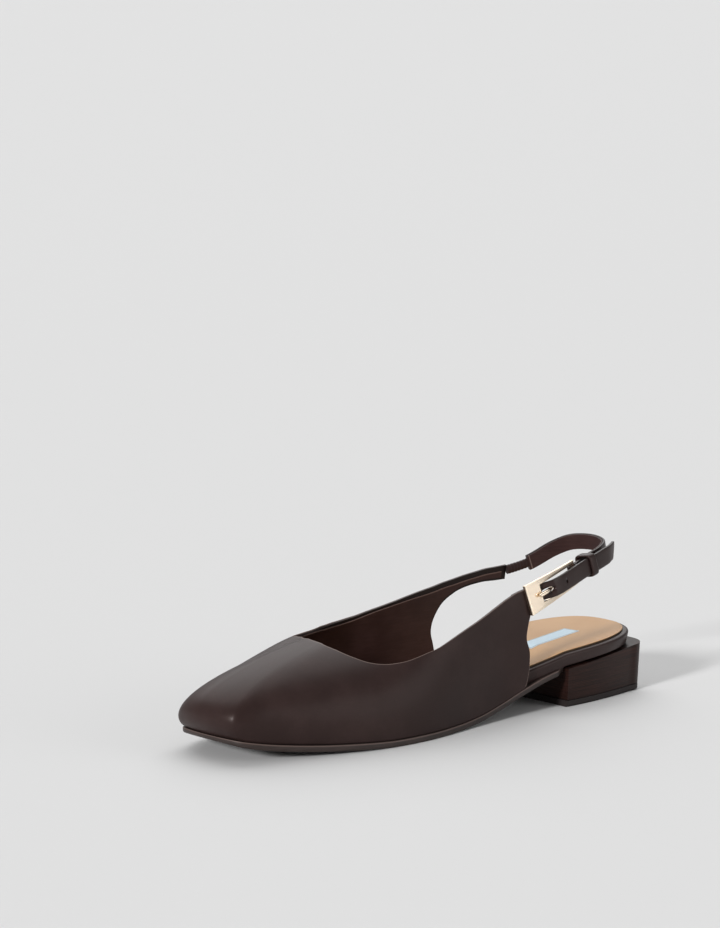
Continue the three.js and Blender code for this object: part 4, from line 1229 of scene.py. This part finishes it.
def blank_label(settings):
    """Blank woven label: a thin sheet that follows the sock, partly sunk into it."""
    half = settings.label_width / MM / 2
    run, across = np.meshgrid(np.linspace(0, LABEL_LENGTH, 90), np.linspace(-half, half, 33), indexing="ij")
    turn = np.radians(LABEL_TURN)
    x = LABEL_PLACE[0] + run * np.cos(turn) - across * np.sin(turn)
    y = LABEL_PLACE[1] + run * np.sin(turn) + across * np.cos(turn)
    sheets = [np.stack([x, y, sock_top(x) + lift], axis=-1) for lift in LABEL_FACES]
    border = np.minimum(half - np.abs(across), np.minimum(run, LABEL_LENGTH - run))
    label = mesh_object("blank_label", sheet_solid(*sheets, border=border))
    bevelled(label, width=0.0001, segments=2)
    weave = woven_label_finish("label_weave", settings.label_colour, scaled(settings.label_colour, 1.2))
    finished(label, "sock_leather", weave)


class SHOE_OT_sling(bpy.types.Operator):
    """Sling strap in two layers, its fold round the bar, the gathered link and the keeper"""
    bl_idname = "shoe.sling"
    bl_label = "Sling"

    def execute(self, context):
        settings = context.scene.shoe_upper
        end = SLING_END - ELASTIC_LENGTH
        calf = smooth_leather("strap_calf", settings, roughness=0.4, coat=0.25,
                              edge_colour=STRAP_EDGE_COLOUR)
        sling_layers(settings, calf, end)
        bar_folds(calf)
        gathered_link(settings, end)
        keeper_ring(calf)
        return {"FINISHED"}


def sling_layers(settings, calf, end):
    """Outer and inner layer of the strap, each a soft-edged strip, from the buckle's bar to the link."""
    places = np.linspace(STRAP_START - STRAP_OVERLAP, end, 260)
    middle = strap_middle(places)
    outer_middle, outer_half = STRAP_OUTER_LAYER
    inner_middle, inner_half = STRAP_INNER_LAYER
    outer = strip(places, STRAP_WIDTH / 2, middle + outer_middle, outer_half)
    inner = strip(places, STRAP_WIDTH / 2 - STRAP_INNER_TRIM, middle + inner_middle, inner_half)
    finished(mesh_object("sling_outer", [outer]), "strap_leather", calf, "sling_strap")
    lining = mesh_object("sling_inner", [inner])
    # Painted highlight: a pale line across the strap's lining just short of its end.
    end_highlight = (end - 1.3, end - 0.9)
    material = lining_leather("strap_lining", settings, "along", end_highlight, settings.edge_highlight)
    finished(lining, "strap_leather", material)


def bar_folds(calf):
    """The strap's two ends folded round the bar, above and below the prong's collar."""
    away, along = soft_box(BAR_FOLD_THICKNESS / 2, 1.0, squareness=5.0, points=24)
    away = BAR_CORNER + FIT + BAR_FOLD_THICKNESS / 2 + away
    for name, low, high in (("bar_fold_top", COLLAR_WIDTH / 2 + FIT, BAR_FOLD_REACH),
                            ("bar_fold_foot", -BAR_FOLD_REACH, -COLLAR_WIDTH / 2 - FIT)):
        fold = bar_band(away, (low + high) / 2 + along * (high - low) / 2)
        finished(mesh_object(name, [fold]), "strap_leather", calf)


def gathered_link(settings, end):
    """Gathered link: a round-cornered tube whose size swells with a cosine along it."""
    places = np.linspace(end - ELASTIC_OVERLAPS[0], SLING_END + ELASTIC_OVERLAPS[1], 120)
    pleat = ELASTIC_PLEAT_DEPTH * np.cos(2 * np.pi * (places - end) / ELASTIC_PLEAT_SPACING)
    half_across, half_out = ELASTIC_HEIGHT / 2 + pleat, ELASTIC_THICKNESS / 2 + pleat
    across, out = soft_box(half_across[:, None], half_out[:, None], squareness=2.2)
    link = mesh_object("gathered_link", [tube(sling_point(places[:, None], across, -UPPER_WALL / 2 + out))])
    material = smooth_leather("gathered_calf", settings, roughness=0.5, coat=0.1)
    finished(link, "gathered_leather", material, "elastic_link")


def keeper_ring(calf):
    """Keeper: a soft band that goes round the strap and the tab."""
    middle_place = KEEPER_AT + KEEPER_WIDTH / 2
    low = strap_middle(middle_place) - STRAP_THICKNESS / 2 - FIT
    high = at_place(TAB_RISE, 1, middle_place) + TAB_THICKNESS / 2 + FIT
    half = TAB_WIDTH / 2 + FIT
    profile_along, profile_out = soft_box(KEEPER_WIDTH / 2, KEEPER_THICKNESS / 2, squareness=4.0, points=28)
    grow = KEEPER_THICKNESS / 2 + profile_out[None, :]
    round_across, round_out = squared_turn(full_turn(64)[:, None], squareness=5.0)
    across = round_across * (half + grow)
    out = (low + high) / 2 + round_out * ((high - low) / 2 + grow)
    rings = sling_point(middle_place + profile_along[None, :], across, out)
    band = mesh_object("keeper_band", [patch(rings, wrap_rows=True, wrap_columns=True)])
    finished(band, "strap_leather", calf, "keeper_loop")


class SHOE_OT_buckle(bpy.types.Operator):
    """Pale gold buckle frame with its wide plate, and the prong"""
    bl_idname = "shoe.buckle"
    bl_label = "Buckle"

    def execute(self, context):
        settings = context.scene.shoe_buckle
        gold = pale_gold_finish("pale_gold", settings.colour, settings.roughness)
        frame_piece = mesh_object("buckle_frame_gold", [buckle_frame_band()], sharp=30)
        bevelled(frame_piece, settings.edge_round, angle=30)
        finished(frame_piece, "pale_gold", gold, "buckle_frame")
        prong = mesh_object("buckle_prong_gold", [prong_pin(), prong_collar()])
        finished(prong, "pale_gold", gold, "buckle_prong")
        return {"FINISHED"}


def trapezoid(at, front_width, rear_width):
    """Outline (along, across) of a trapezoid between two places, there and back."""
    share = np.linspace(0, 1, 13)
    along = at[0] + (at[1] - at[0]) * share
    half = (front_width + (rear_width - front_width) * share) / 2
    return np.concatenate([along, along[::-1]]), np.concatenate([half, -half[::-1]])


def buckle_frame_band():
    """The frame's section carried round between its outer outline and its window."""
    outside = trapezoid((0, BUCKLE_LENGTH), BUCKLE_FRONT, BUCKLE_REAR)
    window = trapezoid((PLATE_DEPTH, BUCKLE_LENGTH - BAR_THICKNESS), WINDOW_FRONT, WINDOW_REAR)
    low, high = FIT, FIT + FRAME_THICKNESS
    corners = ((outside, low), (outside, high), (window, high), (window, low))
    rings = np.stack([sling_point(along, across, out) for (along, across), out in corners], axis=1)
    return patch(rings, wrap_rows=True, wrap_columns=True)


def prong_pin():
    """Round pin from the collar to the plate: it rises by a smoothstep and its tip closes as
    (1 - s^6)^(1/6) over its radius."""
    radius = PRONG_THICKNESS / 2
    tip_out = FIT + FRAME_THICKNESS + FIT + radius
    start = BAR_AT - BAR_CORNER - FIT - COLLAR_WALL / 2
    places = np.linspace(start, PRONG_REACH, 70)
    share = ((PRONG_REACH + radius - places) / radius).clip(0, 1)
    size = radius * (np.clip(1 - share ** 6, 0.0004, 1) ** (1 / 6))[:, None]
    bend = PRONG_HOLE_AT - PRONG_SLOT_LENGTH / 2
    rise = tip_out + (BAR_OUT - tip_out) * smoothstep(places, bend, bend + PRONG_RISE)
    turn = full_turn(24)[None, :]
    return tube(sling_point(places[:, None], size * np.cos(turn), rise[:, None] + size * np.sin(turn)))


def prong_collar():
    """The prong's collar, a soft-edged band round the bar."""
    wall, height = soft_box(COLLAR_WALL / 2, COLLAR_WIDTH / 2, squareness=5.0, points=20)
    return bar_band(BAR_CORNER + FIT + COLLAR_WALL / 2 + wall, height)


# Camera, in millimetres and degrees: a free fit of the photographed shoe's viewing angle
CAMERA_PLACE = (1252.575, 1282.438, 384.146)
CAMERA_TURN = 41.18449
CAMERA_TILT = 8.78064
CAMERA_ROLL = 0.18827
CAMERA_SENSOR = 36
PHOTO_HEIGHT = 928
FOCAL_PIXELS = 3844.95

FLOOR_REACH = 60.0
# Name, azimuth, height and spread in degrees, power.
LIGHTS = (
    ("back_panel", 323.0, 50.0, 70.0, 1.7),
    ("left_window", 102.0, 20.0, 9.0, 2.8),
    ("low_right_panel", 210.0, 12.0, 40.0, 0.7),
)


def camera_matrix():
    """Camera axes from its turn about the upright, its tilt down and its roll."""
    turn, tilt, roll = np.radians((CAMERA_TURN, CAMERA_TILT, CAMERA_ROLL))
    back = np.array((np.sin(turn) * np.cos(tilt), np.cos(turn) * np.cos(tilt), np.sin(tilt)))
    side = np.array((-np.cos(turn), np.sin(turn), 0.0))
    up = np.cross(back, side)
    right, top = np.cos(roll) * side + np.sin(roll) * up, np.cos(roll) * up - np.sin(roll) * side
    matrix = Matrix((right, top, back)).transposed().to_4x4()
    matrix.translation = Vector(CAMERA_PLACE) * MM
    return matrix


def soft_sun(name, azimuth, height, spread, power):
    """Even light from an azimuth (0 at -Y, as for the views) and height in degrees, as soft as a
    bright disc that is spread degrees wide."""
    light = bpy.data.lights.new(name, "SUN")
    light.energy = power
    light.angle = np.radians(spread)
    thing = bpy.data.objects.new(name, light)
    turn, rise = np.radians((azimuth, height))
    towards = Vector((np.sin(turn) * np.cos(rise), -np.cos(turn) * np.cos(rise), np.sin(rise)))
    thing.rotation_euler = towards.to_track_quat("Z", "Y").to_euler()
    bpy.context.scene.collection.objects.link(thing)


class SHOE_OT_stage(bpy.types.Operator):
    """Pale floor, soft studio lights and the camera"""
    bl_idname = "shoe.stage"
    bl_label = "Stage"

    def execute(self, context):
        settings = context.scene.shoe_stage
        scene = context.scene
        floor = bpy.data.objects.new("floor", bpy.data.meshes.new("floor"))
        corners = [(x * FLOOR_REACH, y * FLOOR_REACH, 0) for x, y in ((-1, -1), (1, -1), (1, 1), (-1, 1))]
        floor.data.from_pydata(corners, [], [(0, 1, 2, 3)])
        floor.data.materials.append(floor_finish("studio_floor", settings.floor_colour))
        scene.collection.objects.link(floor)
        for light in LIGHTS:
            soft_sun(*light)
        world = bpy.data.worlds.new("studio")
        world.use_nodes = True
        background = world.node_tree.nodes["Background"]
        background.inputs["Color"].default_value = (1, 1, 1, 1)
        background.inputs["Strength"].default_value = settings.surround
        scene.world = world
        scene.view_settings.view_transform = "Standard"
        camera = bpy.data.cameras.new("camera")
        camera.sensor_fit = "AUTO"
        camera.sensor_width = CAMERA_SENSOR
        camera.lens = CAMERA_SENSOR * FOCAL_PIXELS / PHOTO_HEIGHT
        camera.clip_end = 200
        thing = bpy.data.objects.new("camera", camera)
        thing.matrix_world = camera_matrix()
        scene.collection.objects.link(thing)
        scene.camera = thing
        return {"FINISHED"}


class SHOE_PT_panel(bpy.types.Panel):
    """Buttons and settings of the shoe's pieces"""
    bl_idname = "SHOE_PT_panel"
    bl_label = "Flat slingback shoe"
    bl_space_type = "VIEW_3D"
    bl_region_type = "UI"
    bl_category = "Shoe"

    def draw(self, context):
        for settings, operators in PANEL_GROUPS:
            box = self.layout.box()
            group = getattr(context.scene, settings)
            for name in group.bl_rna.properties.keys():
                if name not in ("rna_type", "name"):
                    box.prop(group, name)
            for operator in operators:
                box.operator(operator)


PANEL_GROUPS = (
    ("shoe_upper", ("shoe.upper", "shoe.lining", "shoe.tab", "shoe.sling")),
    ("shoe_sole", ("shoe.outsole", "shoe.heel", "shoe.footbed")),
    ("shoe_sock", ("shoe.sock",)),
    ("shoe_buckle", ("shoe.buckle",)),
    ("shoe_stage", ("shoe.stage",)),
)
SETTINGS = {
    "shoe_upper": ShoeUpperSettings,
    "shoe_sole": ShoeSoleSettings,
    "shoe_sock": ShoeSockSettings,
    "shoe_buckle": ShoeBuckleSettings,
    "shoe_stage": ShoeStageSettings,
}
CLASSES = (
    *SETTINGS.values(), SHOE_OT_upper, SHOE_OT_lining, SHOE_OT_tab, SHOE_OT_sling, SHOE_OT_outsole,
    SHOE_OT_heel, SHOE_OT_footbed, SHOE_OT_sock, SHOE_OT_buckle, SHOE_OT_stage, SHOE_PT_panel,
)


def register():
    for each in CLASSES:
        bpy.utils.register_class(each)
    for name, group in SETTINGS.items():
        setattr(bpy.types.Scene, name, PointerProperty(type=group))


def unregister():
    for name in SETTINGS:
        delattr(bpy.types.Scene, name)
    for each in reversed(CLASSES):
        bpy.utils.unregister_class(each)


def main():
    register()
    for _, operators in PANEL_GROUPS:
        for operator in operators:
            family, name = operator.split(".")
            getattr(getattr(bpy.ops, family), name)()


if __name__ == "__main__":
    main()
